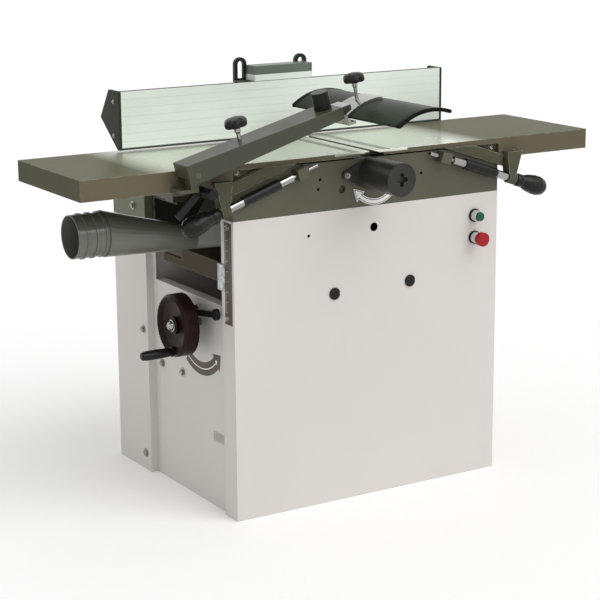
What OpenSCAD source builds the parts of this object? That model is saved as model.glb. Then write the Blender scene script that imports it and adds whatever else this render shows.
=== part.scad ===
// Planer thicknesser on a sheet steel cabinet. Origin on the floor under the cutter axis,
// +X along the tables to the infeed end, +Y to the fence side, +Z up. Millimetres.

/* [Tables] */
// Height of the table surface above the floor
table_z = 880; // [860:1:900]
// Width of both tables, front to back
table_w = 350; // [344:1:360]
// Length of the infeed table, from the cutter axis
infeed_l = 676; // [600:1:760]
// Length of the outfeed table, from the cutter axis
outfeed_l = 777; // [720:1:860]
// Depth of the table edge
table_t = 50; // [44:1:56]
// Thickness of the table plate
plate_t = 12; // [10:0.5:13]
// Thickness of the edge skirt below the plate
skirt_t = 12; // [8:1:16]
// Thickness of the steel lip beside the cutter
lip_t = 6; // [5:0.5:7]
// Length of the steel lip along the table
lip_l = 100; // [80:1:120]
// Half width of the gap between the lips
gap_half = 6; // [5:0.5:9]

/* [Head] */
// Thickness of each cast cheek
cheek_t = 40; // [36:1:44]
// Angle of the inclined table ways
way_a = 18.5; // [17:0.5:20]
// Distance from the cutter axis to the top of each way
way_in = 229; // [220:1:240]
// Travel of a table along its way
way_travel = 12; // [8:1:14]
// Radius of the cutter block
cutter_r = 49; // [46:0.5:50]
// Depth of the cutter axis below the table surface
cutter_depth = 54; // [53:0.5:58]

/* [Cabinet] */
// Height of the head, from the cabinet top to the table surface
head_h = 136; // [130:1:150]
// Half width of the cabinet body
cab_half = 378; // [374:1:382]
// Depth of the deck behind the head
deck_d = 100; // [92:1:116]
// Depth of the side openings below the cabinet top
throat_h = 219; // [214:1:239]
// Sheet thickness of the cabinet walls
wall_t = 3; // [2:0.5:4]
// Depth of the folded front panel
panel_d = 60; // [52:1:64]
// Overhang of the front panel beyond the cabinet side
panel_proud = 10.5; // [9:0.5:14]
// Sheet thickness of the covers
cover_t = 2; // [1.5:0.5:3]
// Depth of the rear cover box
rear_d = 183; // [170:1:200]
// Overhang of the rear cover beyond the cabinet side
rear_proud = 20; // [16:1:26]

/* [Thicknesser] */
// Depth of the thicknesser table surface below the cabinet top, at rest
bed_drop = 115; // [108:1:120]
// Thickness of the thicknesser table
bed_t = 49; // [44:1:52]
// Radius of the table column
column_r = 45; // [40:1:50]
// Radius of the handwheel
wheel_r = 78; // [70:1:86]
// Depth of the handwheel axis below the cabinet top
wheel_drop = 282; // [278:1:292]
// Place of the handwheel axis, front to back
wheel_y = 22; // [16:1:28]

/* [Fence and guard] */
// Length of the fence
fence_l = 949; // [900:1:1000]
// Height of the fence
fence_h = 144; // [136:1:150]
// Thickness of the fence face plate
fence_t = 12; // [10:0.5:14]
// Place of the fence face, front to back
fence_y = 151; // [149:1:153]
// Length of the bridge guard
guard_l = 468; // [450:1:480]
// Width of the bridge guard across its arch
guard_w = 147; // [140:1:152]
// Rise of the guard's arch
guard_rise = 18.5; // [16:0.5:21]
// Length of the guard arm
arm_l = 429; // [424:1:434]
// Tilt of the guard arm at rest
arm_a = 13.9; // [13:0.1:15]

/* [Dust port] */
// Outer radius of the dust spigot
spigot_r = 52; // [48:0.5:56]
// Length of the spigot collar
spigot_l = 80; // [60:1:100]
// Sheet thickness of the dust hood
hood_t = 2; // [1.5:0.25:3]

/* [Hidden] */
$fn = 64;
coarse_fn = 32;
overrun = 1;
slice = 1;
fit_gap = 0.05;
clear = 0.3;
slack = 1;

half_w = table_w / 2;
cheek_inset = 3;
head_y = half_w - cheek_inset;
cheek_y = head_y - cheek_t;
cutter_z = table_z - cutter_depth;
plate_z = table_z - plate_t;
edge_z = table_z - table_t;
way_drop = way_travel * sin(way_a);
crown_gap = 0.7;
crown_z = plate_z - way_drop - crown_gap;
cab_h = table_z - head_h;
cab_back = head_y + deck_d;
sill_z = cab_h - throat_h;
bed_z = cab_h - bed_drop;
wheel_z = cab_h - wheel_drop;
cheek_proud = 10;
cheek_half = cab_half + cheek_proud;
panel_half = cab_half + panel_proud;
rear_half = cab_half + rear_proud;
rear_y = cab_back + rear_d;

// Cabinet sheet
floor_t = 6;
ledge_in = 12;
ledge_w = 10;
sill_w = 28;
post_w = 15;

// Cutter block
knife_proud = 2;
knife_r = cutter_r + knife_proud;
lip_gap = 2;
lip_cut_r = knife_r + lip_gap;
knife_t = 3;
knife_w = 24;
knives = 3;
bar_t = 9;
bar_w = 17;
knife_lean = 4;
journal_r = 15;
bearing_r = 31;
bearing_l = 16;
block_end_gap = 3;
block_y = cheek_y - block_end_gap;
chuck_r = 22;
chuck_l = 70;
chuck_in = 40;
chuck_y = -head_y - chuck_in;
jaw_r = 9;
jaw_bore = 3;
pulley_w = 26;
pulley_gap = 14;
pulley_y = cab_back + pulley_gap;
cutter_pulley_r = 28;
groove_d = 5;

// Chuck guard cap
cap_r = 41;
cap_l = 132;
cap_wall = 5;
cap_ear_x = 73;
cap_ear_r = 12;
cap_flange_t = 7;
cap_recess_r = 20;
cap_recess_d = 10;
cap_lobe_r = 6;
cap_lobe_share = 0.55;
cap_screw_r = 3.5;

// Drilled holes in the front cheek
cheek_hole_r = 4;
cheek_hole_d = 12;
cheek_hole_shares = [[0.386, 0.493], [-0.379, 0.574], [-0.392, 0.404]];

// Adjusting screws, in stations along the way from its top
rod_off = 23;
screw_gap = 12;
screw_y = -half_w - screw_gap;
rod_r = 5;
rod_in = -60;
nut_in = -29;
nut_l = 30;
nut_w = 27;
ferrule_r = 10.5;
ferrule_l = 46;
ferrule_in = 14;
sleeve_r = 13;
sleeve_lap = 8;
lug_l = 24;
knob_l = 100;
knob_r = 25;
lug_t = 15;
lug_web = 20;

// Table castings
nose_x = 36;
wedge_gap = 12;
wedge_out = cheek_half + wedge_gap;
gusset_w = 48;
lug_gap = 15.68;
lug_in = (wedge_out - way_in) / cos(way_a) + lug_gap;
ferrule_gap = 2;
ferrule_end = lug_in - ferrule_gap;
knob_gap = 4;
knob_in = lug_in + lug_l + knob_gap;
slot_w = 4;
slot_l = 22;
slot_pitch = 14;
slot_in = 9;
slot_count = 23;
strip_h = 28;
strip_t = 7;
pocket_gap = 1;
pocket_d = 14;
rib_t = 10;
rib_h = 26;
ribs = 2;

// Feed rollers
roller_x = 84;
roller_r = 19;
roller_lift = 1;
roller_shaft_r = 10;
roller_end = 2;
flutes = 18;
flute_w = 3;
flute_d = 3;
sprocket_gap = 14;
sprocket_y = head_y + sprocket_gap;
sprocket_w = 8;
sprocket_r = 14;
sprocket_teeth = 11;
tooth_gap_r = 2.6;
chain_t = 3;
roller_z = cutter_z - knife_r + roller_r - roller_lift;

// Kickback fingers
finger_x = -140;
finger_lift = 60;
finger_rod_r = 6;
finger_t = 8;
finger_pitch = 12;
finger_count = 18;
finger_l = 34;
finger_w = 20;
finger_angle = -22;

// Thicknesser bed and lift
bed_gap = 6;
bed_half = cab_half - bed_gap;
bed_front = -head_y + panel_d + bed_gap;
bed_back = cheek_y - bed_gap;
bed_lug_gap = 50;
bed_lug_back = cab_back - bed_lug_gap;
bed_lug_t = 20;
bed_rib_t = 12;
bed_plate_t = 16;
sleeve_wall = 8;
sleeve_drop = 42;
sleeve_z1 = wheel_z - sleeve_drop;
column_z0 = 180;
column_bore = 30;
column_wall_gap = 0.06;
screw_r = 12;
screw_l = 330;
screw_in = 20;
bridge_h = 12;
bridge_w = 36;
pedestal_t = 16;
pedestal_w = 30;
pedestal_gap = 3;
slot_half = 28;
slot_top_gap = 44;
mitre_r = 26;
mitre_back = 11;
mitre_teeth = 16;
gear_depth = 5;
gear_clear = 0.6;

// Handwheel
shaft_r = 10;
wheel_gap = 36;
wheel_x = -cab_half - wheel_gap;
wheel_d = 46;
wheel_dish = 10;
wheel_rim = 13;
wheel_web = 9;
hub_r = 22;
bush_r = 17;
bush_l = 14;
grip_r = 12.5;
grip_l = 82;
grip_in = 12;
grip_place = wheel_r - grip_in;
grip_pin_r = 5;
lock_l = 142;
lock_reach = 25;
lock_angle = -8;
lock_y = 18;
lock_z = 26;
lock_t = 9;
lock_w = 15;
lock_end_r = 14;
lock_hub_r = 13;

// Height pointer
scale_gap = 2.2;
pointer_t = 2;
pointer_h = 64;
pointer_w = 34;
pointer_drop = 59;
pointer_z0 = bed_z - pointer_drop;
pointer_back = 12;

// Front panel controls
button_in = 62;
button_x = cab_half - button_in;
start_drop = 57;
start_z = cab_h - start_drop;
stop_drop = 114;
stop_z = cab_h - stop_drop;
bezel_r = 17;
bezel_t = 5;
button_r = 11;
collar_r = 14;
collar_l = 22;
start_proud = 29;
stop_proud = 42;
stop_head_r = 18;
stop_head_t = 13;
button_foot = 6;
button_travel = 4;
switch_w = 54;
switch_h = 112;
switch_d = 44;
plug_r = 15;
plug_t = 3;
plug_stem_r = 11;
plug_stem_l = 8;
plug_slot_w = 4;
plug_left_x = -107;
plug_left_drop = 208;
plug_left_z = cab_h - plug_left_drop;
plug_right_x = 117;
plug_right_drop = 203;
plug_right_z = cab_h - plug_right_drop;
plug_places = [[plug_left_x, plug_left_z], [plug_right_x, plug_right_z]];
sight_r = 11;
sight_x = 9;
sight_drop = 54;
sight_z = cab_h - sight_drop;
pip_r = 4;
pip_x = -180;
pip_drop = 56;
pip_z = cab_h - pip_drop;

// Motor and belt
motor_x = 150;
motor_z = 210;
motor_r = 85;
motor_l = 200;
motor_fins = 24;
fin_d = 6;
fin_w = 5;
motor_foot_w = 150;
motor_foot_t = 12;
motor_foot_l = 130;
motor_shaft_r = 14;
motor_pulley_r = 48;
belt_t = 8;
belt_w = 17;

// Belt guard above the rear cover
guard_box_half = 62;
guard_box_top = 16;
guard_box_d = 74;

// Rear cover louvres
louvre_rows = 7;
louvre_pitch = 22;
louvre_w = 150;
louvre_h = 8;
louvre_z = 150;

// Fence
fence_lift = 3;
fence_left = -513;
rib_count = 6;
groove_t = 1;
groove_h = 1.5;
back_box_d = 25;
back_box_t = 4;
back_box_lo_share = 0.29;
back_box_hi_share = 0.71;
end_cap_t = 7;
end_cap_d = 104;
end_cap_foot = 12;
end_cap_crown = 55;
support_x0 = -138;
support_l = 170;
support_z0 = 57;
support_top = 38;
support_t = 8;
rail_x0 = -174;
rail_l = 218;
tilt_max = 45;
tilt_in = 13;
tilt_y = fence_y + fence_t + tilt_in;
tilt_lift = 13;
tilt_z = table_z + tilt_lift;
bar_x = -100;
bar_half = 30;
bar_lift = 4;
bar_h = 18;
bar_l = 263;
knuckle_r = 8;
knuckle_pin_r = 4;
ear_t = 9;
guide_wall = 20;
guide_l = 40;
guide_top = 13;
loop_h = 62;
loop_w = 35;
loop_t = 10;
loop_rim = 9;
loop_hub_r = 10;
loop_shaft_r = 5;
loop_shaft_l = 6;
loop_drop = 14;
loop_stem = 14;
tilt_lever_x = -153;
slide_lever_x = 26;

// Guard arm and bridge guard
arm_reach = 69;
arm_near = 3;
arm_flare = 26;
arm_front = -half_w - arm_reach;
arm_back_l = -half_w - arm_near;
arm_back_r = arm_back_l + arm_flare;
arm_t = 4;
arm_top = 30;
arm_foot = -20;
arm_foot_r = 2;
arm_tail = 24;
arm_gap = 115;
arm_px = -wedge_out - arm_gap;
arm_drop = 3.4;
arm_lower = 9;
arm_pz = table_z - arm_drop;
notch_z = -2;
pin_r = 6;
shelf_drop = 34;
shelf_t = 8;
bracket_l = 46;
ear_r = 10;
bracket_x1 = arm_px + ear_r;
bracket_x0 = bracket_x1 - bracket_l;
bracket_plate_t = 8;
bracket_drop = 12;
ear_half = 15;
star_share = 0.322;
star_x = arm_l * star_share;
star_in = 33;
star_y = arm_front + star_in;
star_r = 25;
star_h = 20;
star_stem = 40;
stem_r = 5;
lobes = 6;
lobe_r = 7;
drum_end = 52;
drum_x = arm_l - drum_end;
drum_in = 44;
drum_y = arm_front + drum_in;
drum_r = 21;
drum_h = 42;
drum_flutes = 12;
drum_flute_r = 2.5;
guard_gap = 26.5;
guard_lift = 16;
guard_x = arm_px + (arm_l - arm_tail) * cos(arm_a) + guard_gap + guard_w / 2;
guard_z = arm_pz + (arm_l - arm_tail) * sin(arm_a) + guard_lift;
guard_angle = 10;
guard_t = 6;
guard_back = 40;
guard_cap_l = 12;
guard_cap_lip = 1.5;
saddle_t = 8;
saddle_in = 18;
saddle_l = 74;
saddle_y0 = arm_front + saddle_in;
saddle_y1 = saddle_y0 + saddle_l;
saddle_right = 22;
hook_t = 7;
hook_h = 14;
link_in = 4;
link_w = 54;
link_y0 = saddle_y0 + link_in;
link_y1 = link_y0 + link_w;
link_z0 = 3;
link_z1 = 24;
link_l = 36;
clamp_x = -27;
clamp_r = 22;
clamp_h = 18;
clamp_stem = 56;
clamp_y = (saddle_y0 + saddle_y1) / 2;

// Table lock lever
lever_off = 87;
lever_x = -wedge_out - lever_off;
lever_drop = 48;
lever_z = table_z - lever_drop;
lever_r = 12;
lever_gap = 3;
lever_l = 84;
lever_t = 10;
lever_w = 18;
lever_reach = 82;
lever_in = 10;
lever_angle = 225;
lever_pin_r = 6;
lever_pin_l = 10;

// Dust hood
hood_drop = 27;
hood_z = cab_h - hood_drop;
knee_gap = 26;
hood_knee = -cab_half - knee_gap;
flare_l = 243;
hood_end = hood_knee - flare_l - spigot_l;
hood_mouth = -160;
hood_gap = 6;
hood_half = head_y - panel_d - hood_gap;
hood_floor_drop = 74;
hood_lo = cab_h - hood_floor_drop;
hood_mouth_drop = 60;
hood_hi = cutter_z - hood_mouth_drop;
waist_r = 28;
waist_drop = 63;
waist_z = cab_h - waist_drop;
duct_x = -300;
flare_step = 4;
hood_flange_t = 3;
bead_r = 2.5;
beads = 3;
bead_pitch_share = 0.3;

// Floor bolts
bolt_in = 48;
bolt_x = cab_half - bolt_in;
bolt_y = 100;
bolt_r = 7;

paint = [0.84, 0.82, 0.79];
olive = [0.32, 0.32, 0.27];
iron = [0.36, 0.33, 0.29];
steel = [0.72, 0.73, 0.74];
chrome = [0.86, 0.87, 0.88];
black = [0.1, 0.1, 0.11];
brown = [0.2, 0.15, 0.15];
alu = [0.85, 0.88, 0.86];
pipe_grey = [0.34, 0.34, 0.32];
green = [0.05, 0.5, 0.25];
red = [0.8, 0.08, 0.08];
brass = [0.7, 0.55, 0.25];

function way_z(x) = crown_z - (x - way_in) * tan(way_a);
function way_at(n) = (crown_z + n * cos(way_a) - plate_z) / sin(way_a);
function way_point(t, n) = [way_in + t * cos(way_a) + n * sin(way_a),
  crown_z - t * sin(way_a) + n * cos(way_a)];

// Plain shapes
module box(lo, hi) {
  translate(lo) cube(hi - lo);
}

module rod_y(x, z, r, y0, y1) {
  translate([x, y1, z]) rotate([90, 0, 0]) cylinder(r = r, h = y1 - y0);
}

module rod_x(y, z, r, x0, x1) {
  translate([x0, y, z]) rotate([0, 90, 0]) cylinder(r = r, h = x1 - x0);
}

module rod_z(x, y, r, z0, z1) {
  translate([x, y, z0]) cylinder(r = r, h = z1 - z0);
}

module xz_prism(points, y0, y1) {
  translate([0, y1, 0]) rotate([90, 0, 0]) linear_extrude(y1 - y0) polygon(points);
}

module yz_prism(points, x0, x1) {
  translate([x0, 0, 0]) rotate([90, 0, 90]) linear_extrude(x1 - x0) polygon(points);
}

module side(s) {
  mirror([s < 0 ? 1 : 0, 0, 0]) children();
}

// Frame of an inclined way: X runs down the way, Z is its normal
module way_frame(s) {
  side(s) translate([way_in, 0, crown_z]) rotate([0, way_a, 0]) children();
}

module arm_frame() {
  translate([arm_px, 0, arm_pz]) rotate([0, -arm_a, 0]) children();
}

module guard_frame() {
  translate([guard_x, 0, guard_z]) rotate([0, -guard_angle, 0]) children();
}

// Cabinet
module sill(s) {
  side(s) {
    box([cab_half - wall_t, -head_y + panel_d, 0], [cab_half, cab_back, sill_z]);
    box([cab_half - sill_w, -head_y + panel_d, sill_z - wall_t], [cab_half, cab_back, sill_z]);
    box([cab_half - wall_t, cab_back - post_w, 0], [cab_half, cab_back, cab_h]);
  }
}

// Ledges that the dust hood slides on, one from the front wall and one hung from the rear deck
module hood_ledges() {
  x0 = duct_x;
  x1 = hood_mouth - ledge_in;
  z1 = hood_lo - clear;
  rear = hood_half + hood_gap;
  box([x0, -head_y + panel_d - wall_t, z1 - wall_t], [x1, -hood_half + ledge_w, z1]);
  box([x0, hood_half - ledge_w, z1 - wall_t], [x1, rear + wall_t, z1]);
  box([x0, rear, z1 - wall_t], [x1, rear + wall_t, cab_h]);
  box([x0, rear, cab_h - wall_t], [x1, cheek_y + wall_t, cab_h]);
}

module cabinet() {
  color(paint) difference() {
    union() {
      hood_ledges();
      box([-cab_half, -head_y + cover_t, 0], [cab_half, cab_back, floor_t]);
      sill(1);
      sill(-1);
      box([-cab_half, -head_y + panel_d - wall_t, 0], [cab_half, -head_y + panel_d, cab_h]);
      box([-cab_half, -head_y + cover_t, cab_h - floor_t], [cab_half, -head_y + panel_d, cab_h]);
      box([-cab_half, cab_back - wall_t, 0], [cab_half, cab_back, cab_h]);
      box([-cab_half, cheek_y, cab_h - floor_t], [cab_half, cab_back, cab_h]);
      rod_x(wheel_y, wheel_z, bush_r, -cab_half, -cab_half + bush_l);
    }
    for (x = [-bolt_x, bolt_x], y = [-bolt_y, bolt_y]) {
      rod_z(x, y, bolt_r, -overrun, floor_t + overrun);
    }
    rod_x(wheel_y, wheel_z, shaft_r + fit_gap, -cab_half - overrun, -cab_half + bush_l + overrun);
    rod_y(motor_x, motor_z, motor_shaft_r + slack, cab_back - wall_t - overrun, cab_back + overrun);
  }
}

module front_panel() {
  color(paint) difference() {
    union() {
      box([-panel_half, -head_y, 0], [panel_half, -head_y + cover_t, cab_h]);
      for (s = [-1, 1]) {
        side(s) {
          box([panel_half - cover_t, -head_y, 0], [panel_half, -head_y + panel_d, cab_h]);
          box([cab_half, -head_y + panel_d - cover_t, 0], [panel_half, -head_y + panel_d, cab_h]);
        }
      }
    }
    for (z = [start_z, stop_z]) {
      rod_y(button_x, z, button_r + slack, -head_y - overrun, -head_y + cover_t + overrun);
    }
    for (p = plug_places) {
      rod_y(p[0], p[1], plug_stem_r + fit_gap, -head_y - overrun, -head_y + cover_t + overrun);
    }
    rod_y(sight_x, sight_z, sight_r, -head_y - overrun, -head_y + cover_t + overrun);
    rod_y(pip_x, pip_z, pip_r, -head_y - overrun, -head_y + cover_t + overrun);
  }
}

module rear_cover() {
  color(paint) difference() {
    box([-rear_half, cab_back, 0], [rear_half, rear_y, cab_h]);
    box([-rear_half + cover_t, cab_back + cover_t, -overrun],
        [rear_half - cover_t, rear_y - cover_t, cab_h - cover_t]);
    box([-cab_half + rear_proud, cab_back - overrun, -overrun],
        [cab_half - rear_proud, cab_back + cover_t + overrun, cab_h - rear_proud]);
    box([-guard_box_half + cover_t, cab_back - overrun, cab_h - rear_proud - overrun],
        [guard_box_half - cover_t, cab_back + guard_box_d - cover_t, cab_h + overrun]);
    for (i = [0:louvre_rows - 1]) {
      box([-louvre_w / 2, rear_y - cover_t - overrun, louvre_z + i * louvre_pitch],
          [louvre_w / 2, rear_y + overrun, louvre_z + i * louvre_pitch + louvre_h]);
    }
  }
}

module belt_guard() {
  color(olive) difference() {
    box([-guard_box_half, cab_back, cab_h],
      [guard_box_half, cab_back + guard_box_d, table_z - guard_box_top]);
    box([-guard_box_half + cover_t, cab_back + cover_t, cab_h - overrun],
        [guard_box_half - cover_t, cab_back + guard_box_d - cover_t, table_z - guard_box_top - cover_t]);
    rod_y(0, cutter_z, journal_r + slack, cab_back - overrun, cab_back + cover_t + overrun);
  }
}

// Cast cheeks with inclined ways
module cheek_body(y0, y1) {
  far_z = way_z(cheek_half);
  half = [[cheek_half, cab_h], [cheek_half, far_z], [way_in, crown_z]];
  back = [for (i = [2:-1:0]) [-half[i][0], half[i][1]]];
  difference() {
    xz_prism(concat(half, back), y0, y1);
    rod_y(0, cutter_z, bearing_r + fit_gap, y0 - overrun, y1 + overrun);
    for (x = [-roller_x, roller_x]) {
      rod_y(x, roller_z, roller_shaft_r + fit_gap, y0 - overrun, y1 + overrun);
    }
  }
}

module front_cheek() {
  color(olive) difference() {
    cheek_body(-head_y, -cheek_y);
    for (p = cheek_hole_shares) {
      rod_y(p[0] * cheek_half, cab_h + p[1] * head_h, cheek_hole_r,
        -head_y - overrun, -head_y + cheek_hole_d);
    }
  }
}

module rear_cheek() {
  color(olive) cheek_body(cheek_y, head_y);
}

module cutter_bearings() {
  color(steel) for (s = [-1, 1]) {
    mid = s * (head_y + cheek_y) / 2;
    difference() {
      rod_y(0, cutter_z, bearing_r, mid - bearing_l / 2, mid + bearing_l / 2);
      rod_y(0, cutter_z, journal_r + fit_gap, mid - bearing_l, mid + bearing_l);
    }
  }
}

// Cutter block: three slots, each with a knife and its wedge bar
module knife_places() {
  translate([0, 0, cutter_z]) for (i = [0:knives - 1]) {
    rotate([0, i * 360 / knives, 0]) translate([knife_lean, 0, 0]) children();
  }
}

module cutter_block() {
  color(steel) difference() {
    union() {
      rod_y(0, cutter_z, cutter_r, -block_y, block_y);
      rod_y(0, cutter_z, journal_r, chuck_y, pulley_y + pulley_w + pulley_gap / 2);
    }
    knife_places() box([0, -block_y - overrun, cutter_r - knife_w + knife_proud],
                       [knife_t + bar_t, block_y + overrun, cutter_r + overrun]);
  }
}

module knives() {
  color(chrome) knife_places() box([0, -block_y, cutter_r - knife_w + knife_proud],
                                   [knife_t, block_y, cutter_r + knife_proud - slack / 2]);
}

module wedge_bars() {
  color(steel) knife_places() difference() {
    box([knife_t, -block_y, cutter_r - knife_w + knife_proud],
        [knife_t + bar_t, block_y, cutter_r - knife_w + knife_proud + bar_w]);
    for (k = [-2:2]) {
      translate([knife_t, k * block_y * 2 / 5, cutter_r - knife_w + knife_proud + bar_w / 2])
        rotate([0, 90, 0]) translate([0, 0, bar_t / 2]) cylinder(r = bar_t / 3, h = bar_t);
    }
  }
}

module chuck() {
  color(steel) translate([0, 0, cutter_z]) rotate([90, 0, 0]) translate([0, 0, -chuck_y]) difference() {
    union() {
      cylinder(r = chuck_r, h = chuck_l * 2 / 3);
      translate([0, 0, chuck_l * 2 / 3]) cylinder(r1 = chuck_r, r2 = jaw_r, h = chuck_l / 3);
    }
    cylinder(r = jaw_bore, h = chuck_l + overrun);
  }
}

module grooved_pulley(x, z, r, bore) {
  difference() {
    rod_y(x, z, r, pulley_y, pulley_y + pulley_w);
    translate([x, pulley_y + pulley_w / 2, z]) rotate([90, 0, 0]) rotate_extrude() polygon([
      [r - groove_d, -belt_w / 4], [r + overrun, -belt_w / 2],
        [r + overrun, belt_w / 2], [r - groove_d, belt_w / 4]
    ]);
    rod_y(x, z, bore, pulley_y - overrun, pulley_y + pulley_w + overrun);
  }
}

module cutter_pulley() {
  color(iron) grooved_pulley(0, cutter_z, cutter_pulley_r, journal_r);
}

module chuck_guard() {
  color(black) translate([0, -head_y, cutter_z]) rotate([90, 0, 0]) difference() {
    union() {
      hull() {
        cylinder(r = cap_r, h = cap_flange_t, $fn = coarse_fn);
        for (x = [-cap_ear_x, cap_ear_x]) {
          translate([x, 0, 0]) cylinder(r = cap_ear_r, h = cap_flange_t, $fn = coarse_fn);
        }
      }
      cylinder(r = cap_r, h = cap_l);
    }
    translate([0, 0, -overrun]) cylinder(r = cap_r - cap_wall, h = cap_l - cap_recess_d - cap_wall + overrun);
    for (i = [0:3]) {
      rotate(i * 90) translate([cap_recess_r * cap_lobe_share, 0, cap_l - cap_recess_d])
        cylinder(r = cap_lobe_r, h = cap_recess_d + overrun);
    }
    translate([0, 0, cap_l - cap_recess_d]) cylinder(r = cap_recess_r / 2, h = cap_recess_d + overrun);
    for (x = [-cap_ear_x, cap_ear_x]) {
      translate([x, 0, -overrun]) cylinder(r = cap_screw_r, h = cap_flange_t + 2 * overrun);
    }
  }
}

// Motor, pulleys and belt
module motor() {
  motor_y = cab_back - wall_t - motor_l;
  color(iron) difference() {
    union() {
      rod_y(motor_x, motor_z, motor_r - fin_d, motor_y, cab_back - wall_t);
      rod_y(motor_x, motor_z, motor_r, motor_y, motor_y + fin_d * 2);
      rod_y(motor_x, motor_z, motor_r, cab_back - wall_t - fin_d * 2, cab_back - wall_t);
      translate([motor_x, 0, motor_z]) for (i = [0:motor_fins - 1]) {
        rotate([0, i * 360 / motor_fins, 0])
          box([-fin_w / 2, motor_y, motor_r / 2], [fin_w / 2, cab_back - wall_t, motor_r]);
      }
      box([motor_x - motor_foot_w / 2, motor_y + fin_d * 4, floor_t],
          [motor_x + motor_foot_w / 2, motor_y + fin_d * 4 + motor_foot_l, floor_t + motor_foot_t]);
      for (s = [-1, 1]) {
        box([motor_x + s * motor_foot_w / 3 - motor_foot_t / 2, motor_y + fin_d * 4, floor_t],
            [motor_x + s * motor_foot_w / 3 + motor_foot_t / 2, motor_y + fin_d * 4 + motor_foot_l, motor_z]);
      }
    }
    rod_y(motor_x, motor_z, motor_shaft_r + fit_gap, cab_back - motor_l / 2, cab_back + overrun);
  }
}

module motor_pulley() {
  color(iron) {
    grooved_pulley(motor_x, motor_z, motor_pulley_r, motor_shaft_r);
    rod_y(motor_x, motor_z, motor_shaft_r, cab_back - motor_l / 2, pulley_y + pulley_w + pulley_gap / 2);
  }
}

// A flat loop round both pulleys
module belt_shape(grow) {
  hull() {
    translate([motor_x, motor_z]) circle(r = motor_pulley_r - groove_d + grow);
    translate([0, cutter_z]) circle(r = cutter_pulley_r - groove_d + grow);
  }
}

module drive_belt() {
  mid = pulley_y + pulley_w / 2;
  color(black) translate([0, mid + belt_w / 4, 0]) rotate([90, 0, 0])
    linear_extrude(belt_w / 2) difference() {
    belt_shape(belt_t);
    belt_shape(clear);
  }
}

// Feed rollers on each side of the cutter
module roller(x, fluted) {
  difference() {
    union() {
      rod_y(x, roller_z, roller_r, -cheek_y + roller_end, cheek_y - roller_end);
      rod_y(x, roller_z, roller_shaft_r, -head_y + cheek_t / 4, sprocket_y + sprocket_w);
      sprocket(x);
    }
    if (fluted) {
      translate([x, 0, roller_z]) for (i = [0:flutes - 1]) {
        rotate([0, i * 360 / flutes, 0])
          box([-flute_w / 2, -cheek_y, roller_r - flute_d], [flute_w / 2, cheek_y, roller_r + overrun]);
      }
    }
  }
}

module feed_roller() {
  color(steel) roller(-roller_x, true);
}

module outfeed_roller() {
  color(steel) roller(roller_x, false);
}

module sprocket(x) {
  translate([x, sprocket_y + sprocket_w, roller_z]) rotate([90, 0, 0]) difference() {
    cylinder(r = sprocket_r, h = sprocket_w);
    for (i = [0:sprocket_teeth - 1]) {
      rotate(i * 360 / sprocket_teeth) translate([sprocket_r, 0, -overrun])
        cylinder(r = tooth_gap_r, h = sprocket_w + 2 * overrun);
    }
  }
}

// Chain round both sprockets
module chain_run(r) {
  for (x = [-roller_x, roller_x]) {
    translate([x, roller_z]) circle(r = r);
  }
  translate([-roller_x, roller_z - r]) square([2 * roller_x, 2 * r]);
}

module feed_chain() {
  mid = sprocket_y + sprocket_w / 2;
  color(iron) translate([0, mid + sprocket_w / 4, 0]) rotate([90, 0, 0])
    linear_extrude(sprocket_w / 2) difference() {
    chain_run(sprocket_r + clear + chain_t);
    chain_run(sprocket_r + clear);
  }
}

module kickback_rod() {
  color(steel) rod_y(finger_x, plate_z - finger_lift, finger_rod_r, -cheek_y, cheek_y);
}

module kickback_fingers() {
  color(iron) translate([finger_x, 0, plate_z - finger_lift]) rotate([0, finger_angle, 0]) difference() {
    for (i = [0:finger_count - 1]) {
      y = (i - (finger_count - 1) / 2) * finger_pitch;
      rod_y(0, 0, finger_w / 2, y - finger_t / 2, y + finger_t / 2);
      box([-finger_w / 2, y - finger_t / 2, -finger_l], [finger_w / 4, y + finger_t / 2, 0]);
    }
    rod_y(0, 0, finger_rod_r + fit_gap, -cheek_y, cheek_y);
  }
}

// Planing tables
module lip(s) {
  difference() {
    side(s) box([gap_half, -half_w, table_z - lip_t], [gap_half + lip_l, half_w, table_z]);
    rod_y(0, cutter_z, lip_cut_r, -half_w - overrun, half_w + overrun);
    for (i = [0:slot_count - 1]) {
      y = (i - (slot_count - 1) / 2) * slot_pitch;
      side(s) box([lip_cut_r / 2 + slot_in, y - slot_w / 2, table_z - lip_t - overrun],
                  [lip_cut_r / 2 + slot_in + slot_l, y + slot_w / 2, table_z + overrun]);
    }
  }
}

// Wedge that rides on the inclined way, and the lug that carries the adjusting screw
module wedge(y0, y1) {
  lift = clear / cos(way_a);
  top_in = way_in - (plate_z - crown_z - lift) / tan(way_a);
  xz_prism([[top_in, plate_z], [wedge_out + gusset_w / 2, plate_z], [wedge_out + gusset_w / 2, edge_z],
            [wedge_out, way_z(wedge_out) + lift]], y0, y1);
}

module screw_lug() {
  far = wedge_out + gusset_w;
  difference() {
    union() {
      xz_prism([[wedge_out, edge_z + lug_t], [far, edge_z + lug_t],
        way_point(lug_in + lug_l * 7 / 8, -rod_off),
                way_point(lug_in + lug_l / 8, -rod_off)], screw_y - lug_web / 2, -half_w + skirt_t / 2);
      translate([way_in, 0, crown_z]) rotate([0, way_a, 0])
        rod_x(screw_y, -rod_off, lug_t, lug_in, lug_in + lug_l);
    }
    translate([way_in, 0, crown_z]) rotate([0, way_a, 0]) {
      rod_x(screw_y, -rod_off, rod_r + fit_gap, lug_in - lug_l, lug_in + lug_l * 2);
      rod_x(screw_y, -rod_off, ferrule_r + clear, lug_in - lug_l, lug_in - clear);
    }
  }
}

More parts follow.
